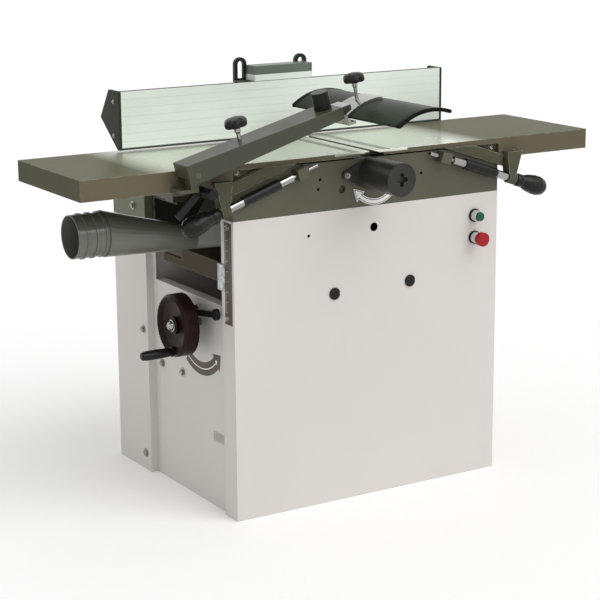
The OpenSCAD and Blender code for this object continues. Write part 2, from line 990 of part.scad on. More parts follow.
// Raised bar along the way, cut off level with the underside of the plate
module way_strip() {
  end = lug_in - lug_l;
  xz_prism([way_point(way_at(clear), clear), way_point(end, clear), way_point(end, clear + strip_h),
            way_point(way_at(clear + strip_h), clear + strip_h)], -half_w - strip_t, -half_w + strip_t);
}

// Three sided pocket in the table edge, between the strip and the plate
module edge_pocket() {
  x = cheek_half + pocket_gap;
  top = plate_z - 2 * pocket_gap;
  rise = (clear + strip_h) / cos(way_a) + pocket_gap;
  xz_prism([[x, top], [x, way_z(x) + rise], [way_in + (crown_z + rise - top) / tan(way_a), top]],
           -half_w - overrun, -half_w + pocket_d);
}

module table(s, length) {
  side(s) difference() {
    union() {
      xz_prism([[nose_x, plate_z], [nose_x, table_z - lip_t], [gap_half + lip_l, table_z - lip_t],
                [gap_half + lip_l, table_z], [length, table_z], [length, plate_z]], -half_w, half_w);
      for (e = [-1, 1]) {
        y0 = e > 0 ? half_w - skirt_t : -half_w;
        box([wedge_out, y0, edge_z], [length, y0 + skirt_t, plate_z]);
        w0 = e > 0 ? cheek_y : -half_w;
        wedge(w0, w0 + half_w - cheek_y);
      }
      box([length - skirt_t, -half_w, edge_z], [length, half_w, plate_z]);
      for (i = [1:ribs]) {
        x = wedge_out + gusset_w + i * (length - wedge_out - gusset_w) / (ribs + 1);
        box([x - rib_t / 2, -half_w + skirt_t, plate_z - rib_h], [x + rib_t / 2, half_w - skirt_t, plate_z]);
      }
      screw_lug();
      way_strip();
    }
    edge_pocket();
  }
}

module outfeed_table() {
  color(iron) difference() {
    table(-1, outfeed_l);
    rod_y(lever_x, lever_z, lever_pin_r + fit_gap, -half_w - overrun, -half_w + skirt_t + overrun);
  }
}

module outfeed_lip() {
  color(steel) lip(-1);
}

module infeed_table() {
  color(iron) table(1, infeed_l);
}

module infeed_lip() {
  color(steel) lip(1);
}

// Adjusting screws
module screw_blocks() {
  color(olive) for (s = [-1, 1]) {
    way_frame(s) difference() {
      box([nut_in, screw_y - nut_w / 2, -rod_off - nut_w / 2],
        [nut_in + nut_l, -head_y, -rod_off + nut_w / 2]);
      rod_x(screw_y, -rod_off, rod_r + fit_gap, nut_in - overrun, nut_in + nut_l + overrun);
    }
  }
}

module adjust_screw(s) {
  color(chrome) way_frame(s) {
    rod_x(screw_y, -rod_off, rod_r, rod_in, knob_in + knob_l / 2);
    rod_x(screw_y, -rod_off, ferrule_r, ferrule_in, ferrule_in + ferrule_l);
    rod_x(screw_y, -rod_off, ferrule_r, ferrule_end - ferrule_l, ferrule_end);
  }
}

// Pear shaped knob: radius as shares of the full radius along its length
knob_shares = [[0, 0.55], [0.05, 0.66], [0.16, 0.66], [0.2, 0.62], [0.4, 0.86],
  [0.6, 0.99], [0.75, 1], [0.88, 0.86],
               [0.96, 0.6], [1, 0.3]];

module adjust_knob(s) {
  color(black) way_frame(s) {
    translate([knob_in, screw_y, -rod_off]) rotate([0, 90, 0]) difference() {
      rotate_extrude() polygon(concat([[0, 0]],
        [for (p = knob_shares) [p[1] * knob_r, p[0] * knob_l]], [[0, knob_l]]));
      translate([0, 0, -overrun]) cylinder(r = rod_r, h = knob_l / 2 + overrun);
    }
    difference() {
      rod_x(screw_y, -rod_off, sleeve_r, ferrule_in + ferrule_l - sleeve_lap,
        ferrule_end - ferrule_l + sleeve_lap);
      rod_x(screw_y, -rod_off, ferrule_r, ferrule_in, ferrule_in + ferrule_l);
      rod_x(screw_y, -rod_off, ferrule_r, ferrule_end - ferrule_l, ferrule_end);
      rod_x(screw_y, -rod_off, rod_r, ferrule_in, ferrule_end);
    }
  }
}

module outfeed_screw() {
  adjust_screw(-1);
}

module outfeed_knob() {
  adjust_knob(-1);
}

module infeed_screw() {
  adjust_screw(1);
}

module infeed_knob() {
  adjust_knob(1);
}

// Thicknesser bed on its column
module thicknesser_table() {
  color(iron) difference() {
    union() {
      box([-bed_half, bed_front, bed_z - bed_plate_t], [bed_half, bed_back, bed_z]);
      for (s = [-1, 1]) {
        side(s) box([bed_half - bed_rib_t, bed_front, bed_z - bed_t], [bed_half, bed_back, bed_z]);
        side(s) box([bed_half - bed_rib_t, bed_front, bed_z - bed_t],
                    [bed_half, bed_lug_back, bed_z - bed_t + bed_lug_t]);
      }
      box([-bed_half, bed_front, bed_z - bed_t], [bed_half, bed_front + bed_rib_t, bed_z]);
      box([-bed_half, bed_back - bed_rib_t, bed_z - bed_t], [bed_half, bed_back, bed_z]);
      box([-column_r * 2, bed_front, bed_z - bed_t], [-column_r * 2 + bed_rib_t, bed_back, bed_z]);
      box([column_r * 2 - bed_rib_t, bed_front, bed_z - bed_t], [column_r * 2, bed_back, bed_z]);
      rod_z(0, wheel_y, column_r * 4 / 3, bed_z - bed_t, bed_z);
    }
    rod_z(0, wheel_y, column_bore, bed_z - bed_t - overrun, bed_z - bed_t + screw_in);
  }
}

module table_column() {
  color(steel) difference() {
    rod_z(0, wheel_y, column_r, column_z0, bed_z - bed_t);
    rod_z(0, wheel_y, column_bore, column_z0 - overrun, bed_z);
    box([-column_r - overrun, wheel_y - slot_half, column_z0 - overrun],
        [column_r + overrun, wheel_y + slot_half, wheel_z + mitre_r + slot_top_gap]);
  }
}

// Sleeve that guides the column, with the cross bridge for the nut and the inner bearing of the shaft
module column_guide() {
  pedestal_x = -column_r - sleeve_wall - pedestal_gap;
  color(iron) difference() {
    union() {
      difference() {
        union() {
          rod_z(0, wheel_y, column_r + sleeve_wall, floor_t, sleeve_z1);
          rod_z(0, wheel_y, column_r * 2, floor_t, floor_t * 4);
        }
        rod_z(0, wheel_y, column_r + column_wall_gap, floor_t * 4, sleeve_z1 + overrun);
      }
      box([pedestal_x, wheel_y - bridge_w / 2, sleeve_z1 - bridge_h],
          [column_r + sleeve_wall, wheel_y + bridge_w / 2, sleeve_z1]);
      box([pedestal_x - pedestal_t, wheel_y - pedestal_w / 2, sleeve_z1 - bridge_h],
          [pedestal_x, wheel_y + pedestal_w / 2, wheel_z + pedestal_w / 2]);
    }
    rod_x(wheel_y, wheel_z, shaft_r + fit_gap, pedestal_x - pedestal_t - overrun, pedestal_x + overrun);
    rod_z(0, wheel_y, screw_r + slack, sleeve_z1 - bridge_h - overrun, sleeve_z1 + overrun);
  }
}

// Mitre gear: a short cone, and the gaps between its teeth
module mitre_cone() {
  cylinder(r1 = mitre_r, r2 = mitre_r - mitre_back, h = mitre_back);
}

module mitre_gaps(turn) {
  for (i = [0:mitre_teeth - 1]) {
    rotate((i + turn) * 360 / mitre_teeth) translate([mitre_r, 0, 0]) rotate([0, -45, 0])
      cube([gear_depth, mitre_r * 3 / mitre_teeth, mitre_r * 4], center = true);
  }
}

// Turning nut with its mitre gear, seated on the bridge
module lift_nut() {
  gear_z = wheel_z - mitre_r - gear_clear;
  color(brass) difference() {
    union() {
      rod_z(0, wheel_y, mitre_r - gear_depth, sleeve_z1 + clear, gear_z + mitre_back / 2);
      translate([0, wheel_y, gear_z]) mitre_cone();
    }
    translate([0, wheel_y, gear_z]) mitre_gaps(0);
    rod_z(0, wheel_y, screw_r + fit_gap, sleeve_z1, wheel_z);
  }
}

module lift_screw() {
  top = bed_z - bed_t + screw_in;
  color(steel) {
    rod_z(0, wheel_y, screw_r, top - screw_l, top);
    rod_z(0, wheel_y, column_bore, bed_z - bed_t, top);
  }
}

module handwheel_shaft() {
  color(steel) {
    rod_x(wheel_y, wheel_z, shaft_r, wheel_x - wheel_d / 2, -mitre_r - gear_clear);
    translate([-mitre_r - gear_clear, wheel_y, wheel_z]) rotate([0, 90, 0]) difference() {
      mitre_cone();
      mitre_gaps(1 / 2);
    }
  }
}

module handwheel() {
  color(brown) translate([wheel_x, wheel_y, wheel_z]) rotate([0, -90, 0]) difference() {
    union() {
      rotate_extrude() polygon([
        [hub_r, 0], [wheel_r - wheel_rim, 0], [wheel_r, wheel_rim / 2], [wheel_r, wheel_d - wheel_rim / 2],
        [wheel_r - wheel_rim / 2, wheel_d], [wheel_r - wheel_rim, wheel_d - wheel_rim / 3],
        [wheel_r - wheel_rim * 3 / 2, wheel_d - wheel_dish],
        [hub_r + wheel_rim, wheel_d - wheel_dish * 3 / 2], [hub_r, wheel_d - wheel_dish * 3 / 2]
      ]);
      translate([0, 0, -slack]) cylinder(r = hub_r, h = wheel_d - wheel_dish / 2);
      translate([-grip_place, 0, wheel_web]) cylinder(r = grip_r, h = wheel_d - wheel_web);
    }
    translate([0, 0, -slack - overrun]) cylinder(r = shaft_r, h = wheel_d / 2 + slack + overrun);
    translate([-grip_place, 0, wheel_web]) cylinder(r = grip_pin_r + fit_gap, h = wheel_d);
  }
}

grip_shares = [[0, 0.7], [0.1, 0.9], [0.5, 1], [0.85, 0.95], [0.97, 0.8], [1, 0.5]];

module crank_grip() {
  color(black) translate([wheel_x - wheel_d - clear, wheel_y, wheel_z - grip_place]) rotate([0, -90, 0]) {
    rotate_extrude() polygon(concat([[0, 0]],
      [for (p = grip_shares) [p[1] * grip_r, p[0] * grip_l]], [[0, grip_l]]));
    translate([0, 0, -wheel_d / 2]) cylinder(r = grip_pin_r, h = wheel_d / 2 + slack);
  }
}

// Lock lever: a hub on the side wall with a flat arm clear of the front panel
module height_lock() {
  color(black) translate([-cab_half - clear, wheel_y + lock_y, wheel_z + lock_z])
    rotate([lock_angle, 0, 0]) rotate([0, -90, 0]) {
    cylinder(r = lock_hub_r, h = lock_reach);
    translate([0, 0, lock_reach - lock_t]) {
      box([-lock_w / 2, -lock_l, 0], [lock_w / 2, 0, lock_t]);
      translate([0, -lock_l, 0]) cylinder(r = lock_end_r, h = lock_t);
    }
  }
}

module height_pointer() {
  back = -head_y + panel_d + pointer_back;
  face = -panel_half - scale_gap;
  color(chrome) {
    box([face - pointer_t, back - pointer_w, pointer_z0], [face, back, pointer_z0 + pointer_h]);
    box([face, back - pointer_t, pointer_z0], [-bed_half, back, pointer_z0 + pointer_h]);
  }
}

// Push buttons
module button(z, proud) {
  rod_y(button_x, z, button_r, -head_y - proud, -head_y + button_foot);
}

module start_button() {
  color(green) button(start_z, start_proud);
}

module stop_button() {
  color(red) {
    button(stop_z, stop_proud - slack);
    rod_y(button_x, stop_z, stop_head_r, -head_y - stop_proud, -head_y - stop_proud + stop_head_t);
  }
}

module panel_plugs() {
  color(iron) for (p = plug_places) {
    difference() {
      union() {
        rod_y(p[0], p[1], plug_r, -head_y - plug_t, -head_y);
        rod_y(p[0], p[1], plug_stem_r, -head_y, -head_y + plug_stem_l);
      }
      box([p[0] - plug_r, -head_y - plug_t - overrun, p[1] - plug_slot_w / 2],
          [p[0] + plug_r, -head_y - plug_t / 2, p[1] + plug_slot_w / 2]);
    }
  }
}

// Bezels in front of the panel and the contact block behind it
module button_station() {
  z_mid = (start_z + stop_z) / 2;
  well = -head_y + button_foot + button_travel + slack;
  color(black) {
    for (z = [start_z, stop_z]) {
      difference() {
        union() {
          rod_y(button_x, z, bezel_r, -head_y - bezel_t, -head_y);
          rod_y(button_x, z, collar_r, -head_y - collar_l, -head_y);
        }
        rod_y(button_x, z, button_r + clear, -head_y - collar_l - overrun, -head_y + overrun);
      }
    }
    difference() {
      box([button_x - switch_w / 2, -head_y + cover_t, z_mid - switch_h / 2],
          [button_x + switch_w / 2, -head_y + cover_t + switch_d, z_mid + switch_h / 2]);
      for (z = [start_z, stop_z]) {
        rod_y(button_x, z, button_r + clear, -head_y, well);
      }
    }
  }
}

// Fence
fence_z = table_z + fence_lift;
fence_top = fence_z + fence_h;
box_lo = fence_z + back_box_lo_share * fence_h;
box_hi = fence_z + back_box_hi_share * fence_h;
fence_back = fence_y + fence_t;

module fence_plate() {
  box_back = fence_back + back_box_d;
  slope = back_box_d / 2;
  color(alu) difference() {
    yz_prism([[fence_y, fence_z], [fence_back, fence_z], [fence_back, box_lo - slope], [box_back, box_lo],
              [box_back, box_hi], [fence_back, box_hi + slope],
                [fence_back, fence_top], [fence_y, fence_top]],
             fence_left, fence_left + fence_l);
    yz_prism([[fence_back, box_lo], [box_back - back_box_t, box_lo + back_box_t],
              [box_back - back_box_t, box_hi - back_box_t], [fence_back, box_hi]],
             fence_left - overrun, fence_left + fence_l + overrun);
    for (i = [1:rib_count]) {
      z = fence_z + i * fence_h / (rib_count + 1);
      box([fence_left - overrun, fence_y - overrun, z - groove_h / 2],
          [fence_left + fence_l + overrun, fence_y + groove_t, z + groove_h / 2]);
    }
  }
}

module fence_caps() {
  mid = (fence_z + fence_top) / 2;
  outline = [[fence_y, fence_z], [fence_y + end_cap_foot, fence_z], [fence_y + end_cap_d, mid],
             [fence_y + end_cap_crown, fence_top], [fence_y, fence_top]];
  color(black) {
    yz_prism(outline, fence_left - end_cap_t, fence_left);
    yz_prism(outline, fence_left + fence_l, fence_left + fence_l + end_cap_t);
  }
}

// Support on the back of the fence: cross rail, raised bracket and two legs with hinge ears
module fence_support() {
  ear_reach = bar_half + ear_t + 2 * overrun;
  top = fence_top + support_top;
  base = fence_z + support_z0;
  box_back = fence_back + back_box_d;
  back = box_back + support_t;
  color(olive) difference() {
    union() {
      box([rail_x0, box_back, base], [rail_x0 + rail_l, back, fence_top]);
      box([support_x0, fence_y, top - support_t], [support_x0 + support_l, back, top]);
      box([support_x0, fence_y, fence_top], [support_x0 + support_l, back, fence_top + support_t]);
      box([support_x0, box_back, base], [support_x0 + support_l, back, fence_top + support_t]);
      box([support_x0, fence_y, fence_top], [support_x0 + support_l, fence_y + support_t, top]);
      for (x = [support_x0, support_x0 + support_l - support_t]) {
        box([x, fence_y, fence_top], [x + support_t, back, top]);
      }
      for (s = [-1, 1]) {
        x = bar_x + s * (bar_half + ear_t / 2 + clear);
        box([x - ear_t / 2, tilt_y, tilt_z - knuckle_r], [x + ear_t / 2, back, tilt_z + knuckle_r]);
        box([x - ear_t / 2, box_back, tilt_z - knuckle_r], [x + ear_t / 2, back, base]);
        rod_x(tilt_y, tilt_z, knuckle_r, x - ear_t / 2, x + ear_t / 2);
      }
      rod_x(tilt_y, tilt_z, knuckle_pin_r, bar_x - bar_half - clear - ear_t,
        bar_x + bar_half + clear + ear_t);
    }
    for (x = [tilt_lever_x, slide_lever_x]) {
      rod_y(x, fence_top - loop_drop, loop_shaft_r + fit_gap, box_back - overrun, back + overrun);
    }
    translate([bar_x, tilt_y, tilt_z]) rotate([tilt_max - 180, 0, 0])
      box([-ear_reach, -ear_reach, knuckle_r], [ear_reach, ear_reach, ear_reach]);
  }
}

module fence_bar() {
  z0 = table_z + bar_lift;
  color(steel) difference() {
    union() {
      box([bar_x - bar_half, tilt_y + knuckle_r, z0], [bar_x + bar_half, tilt_y + bar_l, z0 + bar_h]);
      rod_x(tilt_y, tilt_z, knuckle_r, bar_x - bar_half, bar_x + bar_half);
      box([bar_x - bar_half, tilt_y, tilt_z - knuckle_r],
        [bar_x + bar_half, tilt_y + knuckle_r, tilt_z + knuckle_r]);
    }
    rod_x(tilt_y, tilt_z, knuckle_pin_r + fit_gap, bar_x - bar_half - overrun, bar_x + bar_half + overrun);
  }
}

module fence_guide() {
  z0 = table_z + bar_lift;
  y0 = cab_back - guide_l - slack;
  color(olive) difference() {
    box([bar_x - bar_half - guide_wall, y0, cab_h],
        [bar_x + bar_half + guide_wall, y0 + guide_l, z0 + bar_h + guide_top]);
    box([bar_x - bar_half - clear, y0 - overrun, z0 - clear],
        [bar_x + bar_half + clear, y0 + guide_l + overrun, z0 + bar_h + clear]);
  }
}

// Upright loop handle on a short shaft through the cross rail
module loop_lever(x) {
  translate([x, fence_back + back_box_d + support_t, fence_top - loop_drop]) rotate([90, 0, 0]) {
    translate([0, 0, -clear]) cylinder(r = loop_shaft_r, h = loop_shaft_l + clear);
    translate([0, 0, -loop_t - clear]) {
      cylinder(r = loop_hub_r, h = loop_t);
      translate([-loop_rim / 2, 0, 0]) cube([loop_rim, loop_stem, loop_t]);
      translate([0, loop_stem - loop_rim / 2, 0]) difference() {
        union() {
          translate([-loop_w / 2, 0, 0]) cube([loop_w, loop_h - loop_w / 2, loop_t]);
          translate([0, loop_h - loop_w / 2, 0]) cylinder(r = loop_w / 2, h = loop_t);
        }
        translate([-loop_w / 2 + loop_rim, loop_rim, -overrun])
          cube([loop_w - 2 * loop_rim, loop_h - loop_w / 2 - loop_rim, loop_t + 2 * overrun]);
        translate([0, loop_h - loop_w / 2, -overrun])
          cylinder(r = loop_w / 2 - loop_rim, h = loop_t + 2 * overrun);
      }
    }
  }
}

module fence_tilt_lever() {
  color(black) loop_lever(tilt_lever_x);
}

module fence_slide_lever() {
  color(black) loop_lever(slide_lever_x);
}

// Guard arm: a folded channel that widens and grows shallower towards the guard
module arm_outline(inset) {
  polygon([[-arm_tail + inset, arm_front + inset], [arm_l - arm_tail - inset, arm_front + inset],
           [arm_l - arm_tail - inset, arm_back_r - inset], [-arm_tail + inset, arm_back_l - inset]]);
}

module arm_casting() {
  arm_frame() difference() {
    intersection() {
      translate([0, 0, arm_foot]) linear_extrude(arm_top - arm_foot) arm_outline(0);
      xz_prism([[-arm_tail, arm_foot], [arm_l - arm_tail, arm_foot_r], [arm_l - arm_tail, arm_top],
                [-arm_tail, arm_top]], arm_front, arm_back_r);
    }
    translate([0, 0, arm_foot - overrun])
      linear_extrude(arm_top - arm_foot - arm_t + overrun) arm_outline(arm_t);
    rod_y(0, 0, pin_r + fit_gap, arm_front - overrun, arm_back_r + overrun);
    rod_z(star_x, star_y, stem_r + fit_gap, arm_foot, arm_top + overrun);
    rod_z(drum_x, drum_y, stem_r + fit_gap, arm_foot, arm_top + overrun);
    box([-arm_tail - overrun, arm_front + arm_t, arm_foot - overrun],
        [-arm_tail + arm_t + overrun, arm_back_l - arm_t, notch_z]);
  }
}

// Arm casting, relieved where its back edge passes the table edge, as shown and lowered
module guard_arm() {
  color(olive) difference() {
    arm_casting();
    for (a = [0, arm_lower]) {
      translate([arm_px, 0, arm_pz]) rotate([0, -a, 0]) translate([-arm_px, 0, -arm_pz])
        box([-outfeed_l, -half_w - clear, cab_h], [0, half_w, table_z + clear]);
    }
  }
}

// Lobed clamp knob on a stem: head of radius r above the seat
module star_shape(r, h, stem, foot) {
  translate([0, 0, -foot]) cylinder(r = stem_r, h = foot + stem + slack);
  translate([0, 0, stem]) difference() {
    cylinder(r = r, h = h);
    for (i = [0:lobes - 1]) {
      rotate(i * 360 / lobes) translate([r + lobe_r / 2, 0, -overrun])
        cylinder(r = lobe_r, h = h + 2 * overrun);
    }
  }
}

module arm_star_knob() {
  color(black) arm_frame() translate([star_x, star_y, arm_top]) star_shape(star_r, star_h, star_stem, star_h);
}

module arm_drum_knob() {
  color(black) arm_frame() translate([drum_x, drum_y, arm_top]) {
    translate([0, 0, -arm_t * 3]) cylinder(r = stem_r, h = arm_t * 3 + slack);
    translate([0, 0, clear]) difference() {
      cylinder(r = drum_r, h = drum_h);
      for (i = [0:drum_flutes - 1]) {
        rotate(i * 360 / drum_flutes) translate([drum_r + drum_flute_r / 2, 0, drum_h / 4])
          cylinder(r = drum_flute_r, h = drum_h);
      }
    }
  }
}

module guard_knob() {
  seat = guard_r * cos(asin((abs(clamp_x) - stem_r) / guard_r)) - guard_r + guard_rise;
  color(black) guard_frame() translate([clamp_x, clamp_y, seat + clear])
    star_shape(clamp_r, clamp_h, clamp_stem, 0);
}

// Table lock: a hub across the table edge with a flat handle hanging from it
module table_lock() {
  y1 = -half_w - lever_gap;
  color(black) {
    rod_y(lever_x, lever_z, lever_r, y1 - lever_l, y1);
    translate([lever_x, y1 - lever_in, lever_z]) rotate([0, lever_angle, 0])
      box([-lever_w / 2, -lever_t, 0], [lever_w / 2, 0, lever_reach]);
    rod_y(lever_x, lever_z, lever_pin_r, y1, y1 + lever_pin_l);
  }
}

module guard_bracket() {
  shelf_z = arm_pz - shelf_drop;
  ear_y = (arm_front + arm_back_l) / 2;
  color(olive) {
    box([bracket_x0, -half_w - bracket_plate_t, shelf_z - shelf_t - bracket_drop],
      [bracket_x1, -half_w, shelf_z]);
    box([bracket_x0, ear_y - ear_half, shelf_z - shelf_t], [bracket_x1, -half_w, shelf_z]);
    box([arm_px - ear_r, ear_y - ear_half, shelf_z - shelf_t], [arm_px + ear_r, ear_y + ear_half, arm_pz]);
    rod_y(arm_px, arm_pz, ear_r, ear_y - ear_half, ear_y + ear_half);
    rod_y(arm_px, arm_pz, pin_r, arm_front, arm_back_l);
  }
}

module arch(r_out, r_in, y0, y1, half) {
  drop = guard_r - guard_rise;
  intersection() {
    difference() {
      rod_y(0, -drop, r_out, y0, y1);
      rod_y(0, -drop, r_in, y0 - overrun, y1 + overrun);
    }
    box([-half, y0, -guard_t], [half, y1, guard_r]);
  }
}

guard_r = (guard_w * guard_w / 4 + guard_rise * guard_rise) / (2 * guard_rise);

module bridge_guard() {
  front = guard_back - guard_l;
  color(alu) guard_frame() {
    arch(guard_r, guard_r - guard_t, front + guard_cap_l, guard_back - guard_cap_l, guard_w / 2);
    for (y = [front, guard_back - guard_cap_l]) {
      arch(guard_r + guard_cap_lip, guard_r - guard_t - guard_cap_lip, y, y + guard_cap_l,
           guard_w / 2 + guard_cap_lip);
    }
  }
}

module guard_holder() {
  left = -guard_w / 2 - guard_cap_lip - clear;
  color(chrome) {
    guard_frame() {
      difference() {
        intersection() {
          arch(guard_r + clear + saddle_t, guard_r + clear, saddle_y0, saddle_y1, guard_w);
          box([left - hook_t, saddle_y0, -guard_t], [saddle_right, saddle_y1, guard_r]);
        }
        rod_z(clamp_x, clamp_y, stem_r + fit_gap, 0, guard_r);
      }
      box([left - hook_t, saddle_y0, -hook_h], [left, saddle_y1, guard_t]);
      box([left - hook_t, saddle_y0, -hook_h - hook_t], [left + hook_h, saddle_y1, -hook_h]);
    }
    arm_frame() box([arm_l - arm_tail, link_y0, link_z0], [arm_l - arm_tail + link_l, link_y1, link_z1]);
  }
}

// Dust hood: round spigot and flare, joined to a flat duct that ends below the cutter
module hood_slice(x, top, inset) {
  box([x - slice, -hood_half + inset, hood_lo + inset], [x, hood_half - inset, top - inset]);
}

module hood_ring(x, z, r) {
  translate([x, 0, z]) rotate([0, 90, 0]) cylinder(r = r, h = slice, $fn = coarse_fn);
}

module flare_form(inset, reach) {
  hull() {
    hood_ring(hood_end + spigot_l + inset, hood_z, spigot_r + flare_step - inset);
    hood_ring(hood_knee - slice - fit_gap + reach, waist_z, waist_r - inset);
  }
}

module duct_form(inset, reach) {
  hull() {
    hood_ring(hood_knee - reach, waist_z, waist_r - inset);
    hood_slice(duct_x, hood_hi, inset);
  }
  hull() {
    hood_slice(duct_x, hood_hi, inset);
    hood_slice(hood_mouth + reach, hood_hi, inset);
  }
}

module hood_flare() {
  difference() {
    union() {
      difference() {
        flare_form(0, 0);
        flare_form(hood_t, overrun);
      }
      translate([hood_end, 0, hood_z]) rotate([0, 90, 0]) {
        cylinder(r = spigot_r, h = spigot_l + slice);
        for (i = [1:beads]) {
          translate([0, 0, i * spigot_l * bead_pitch_share - bead_r])
            cylinder(r = spigot_r + bead_r, h = bead_r * 2);
        }
      }
    }
    translate([hood_end - overrun, 0, hood_z]) rotate([0, 90, 0])
      cylinder(r = spigot_r - hood_t, h = spigot_l + hood_t + 2 * overrun);
  }
}

module hood_duct() {
  difference() {
    union() {
      duct_form(0, 0);
      box([hood_mouth - hood_flange_t, -hood_half - hood_flange_t, hood_lo],
          [hood_mouth, hood_half + hood_flange_t, hood_hi + hood_flange_t]);
    }
    duct_form(hood_t, overrun);
  }
}

module dust_hood() {
  color(pipe_grey) {
    hood_flare();
    hood_duct();
  }
}

cabinet();
front_panel();
rear_cover();
belt_guard();
front_cheek();
rear_cheek();
cutter_bearings();
cutter_block();
knives();
wedge_bars();
chuck();
cutter_pulley();
chuck_guard();
motor();
motor_pulley();
drive_belt();
feed_roller();
outfeed_roller();
feed_chain();
kickback_rod();
kickback_fingers();
outfeed_table();
outfeed_lip();
infeed_table();
infeed_lip();
screw_blocks();
outfeed_screw();
outfeed_knob();
infeed_screw();
infeed_knob();
thicknesser_table();
table_column();
lift_screw();
lift_nut();
column_guide();
handwheel_shaft();
handwheel();
crank_grip();
height_lock();
height_pointer();
start_button();
stop_button();
button_station();
panel_plugs();
fence_plate();
fence_caps();
fence_support();
fence_bar();
fence_guide();
fence_tilt_lever();
fence_slide_lever();
guard_bracket();
guard_arm();
arm_star_knob();
arm_drum_knob();
guard_holder();
guard_knob();
bridge_guard();
table_lock();
dust_hood();
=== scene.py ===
import bpy
import bmesh
from math import radians, cos, sin, atan2, pi
from mathutils import Matrix, Vector


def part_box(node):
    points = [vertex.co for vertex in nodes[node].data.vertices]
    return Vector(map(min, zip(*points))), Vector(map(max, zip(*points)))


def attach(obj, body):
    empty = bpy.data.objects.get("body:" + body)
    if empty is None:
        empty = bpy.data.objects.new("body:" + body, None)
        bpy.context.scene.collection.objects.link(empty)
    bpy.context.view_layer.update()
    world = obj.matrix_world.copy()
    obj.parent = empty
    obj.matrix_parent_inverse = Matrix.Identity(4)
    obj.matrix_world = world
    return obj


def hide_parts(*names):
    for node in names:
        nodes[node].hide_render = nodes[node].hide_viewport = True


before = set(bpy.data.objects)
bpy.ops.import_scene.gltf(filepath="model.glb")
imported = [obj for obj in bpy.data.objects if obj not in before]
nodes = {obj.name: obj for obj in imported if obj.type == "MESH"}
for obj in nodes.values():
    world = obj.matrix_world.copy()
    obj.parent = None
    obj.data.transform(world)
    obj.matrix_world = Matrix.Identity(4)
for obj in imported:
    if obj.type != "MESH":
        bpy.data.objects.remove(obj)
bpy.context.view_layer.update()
print("frame loaded:", len(nodes), "nodes")

# Shader helpers

black = (0, 0, 0, 1)
grey = (0.5, 0.5, 0.5, 1)
white = (1, 1, 1, 1)


def linear(r, g, b):
    # 8 bit display colour to the shader's linear one
    def one(c):
        c = c / 255
        return c / 12.92 if c <= 0.04045 else ((c + 0.055) / 1.055) ** 2.4
    return (one(r), one(g), one(b), 1)


def mixColors(a, b, t):
    return tuple(a[i] * (1 - t) + b[i] * t for i in range(3)) + (1,)


def feed(tree, value, socket):
    # links a socket, or sets a plain value
    if isinstance(value, bpy.types.NodeSocket):
        tree.links.new(value, socket)
    else:
        socket.default_value = value


def startMaterial(name):
    mat = bpy.data.materials.new(name)
    mat.use_nodes = True
    tree = mat.node_tree
    tree.nodes.clear()
    out = tree.nodes.new("ShaderNodeOutputMaterial")
    shader = tree.nodes.new("ShaderNodeBsdfPrincipled")
    coords = tree.nodes.new("ShaderNodeTexCoord")
    tree.links.new(shader.outputs["BSDF"], out.inputs["Surface"])
    return mat, tree, shader, coords.outputs["Object"]


def noise(tree, vector, scale, detail=3, stretch=None, rough=0.5):
    tex = tree.nodes.new("ShaderNodeTexNoise")
    tex.inputs["Scale"].default_value = scale
    tex.inputs["Detail"].default_value = detail
    tex.inputs["Roughness"].default_value = rough
    if stretch:
        mapping = tree.nodes.new("ShaderNodeMapping")
        mapping.inputs["Scale"].default_value = stretch
        tree.links.new(vector, mapping.inputs["Vector"])
        vector = mapping.outputs["Vector"]
    tree.links.new(vector, tex.inputs["Vector"])
    return tex.outputs["Fac"]


def ramp(tree, value, low, high, stops=(0.3, 0.7)):
    node = tree.nodes.new("ShaderNodeValToRGB")
    node.color_ramp.elements[0].position = stops[0]
    node.color_ramp.elements[1].position = stops[1]
    node.color_ramp.elements[0].color = low
    node.color_ramp.elements[1].color = high
    tree.links.new(value, node.inputs["Fac"])
    return node.outputs["Color"]


def spread(tree, value, low, high, start=0.25, end=0.75):
    node = tree.nodes.new("ShaderNodeMapRange")
    node.inputs["From Min"].default_value = start
    node.inputs["From Max"].default_value = end
    node.inputs["To Min"].default_value = low
    node.inputs["To Max"].default_value = high
    tree.links.new(value, node.inputs["Value"])
    return node.outputs["Result"]


def blendBy(tree, kind, share, a, b, mode="MIX"):
    # kind RGBA or FLOAT
    node = tree.nodes.new("ShaderNodeMix")
    node.data_type = kind
    if kind == "RGBA":
        node.blend_type = mode
    group = [s for s in node.inputs if s.enabled]
    for value, socket in zip((share, a, b), group):
        feed(tree, value, socket)
    return [s for s in node.outputs if s.enabled][0]


def combine(tree, operation, a, b):
    node = tree.nodes.new("ShaderNodeMath")
    node.operation = operation
    feed(tree, a, node.inputs[0])
    feed(tree, b, node.inputs[1])
    return node.outputs["Value"]


def inside(tree, vec, zone):
    # zone: lists of planes (axis, place, side, softness); inside all the planes of any list
    split = tree.nodes.new("ShaderNodeSeparateXYZ")
    tree.links.new(vec, split.inputs["Vector"])
    result = None
    for planes in zone:
        part = None
        for axis, place, side, soft in planes:
            low, high = (0, 1) if side > 0 else (1, 0)
            step = spread(tree, split.outputs[axis], low, high, place - soft, place + soft)
            part = step if part is None else combine(tree, "MULTIPLY", part, step)
        result = part if result is None else combine(tree, "MAXIMUM", result, part)
    return result


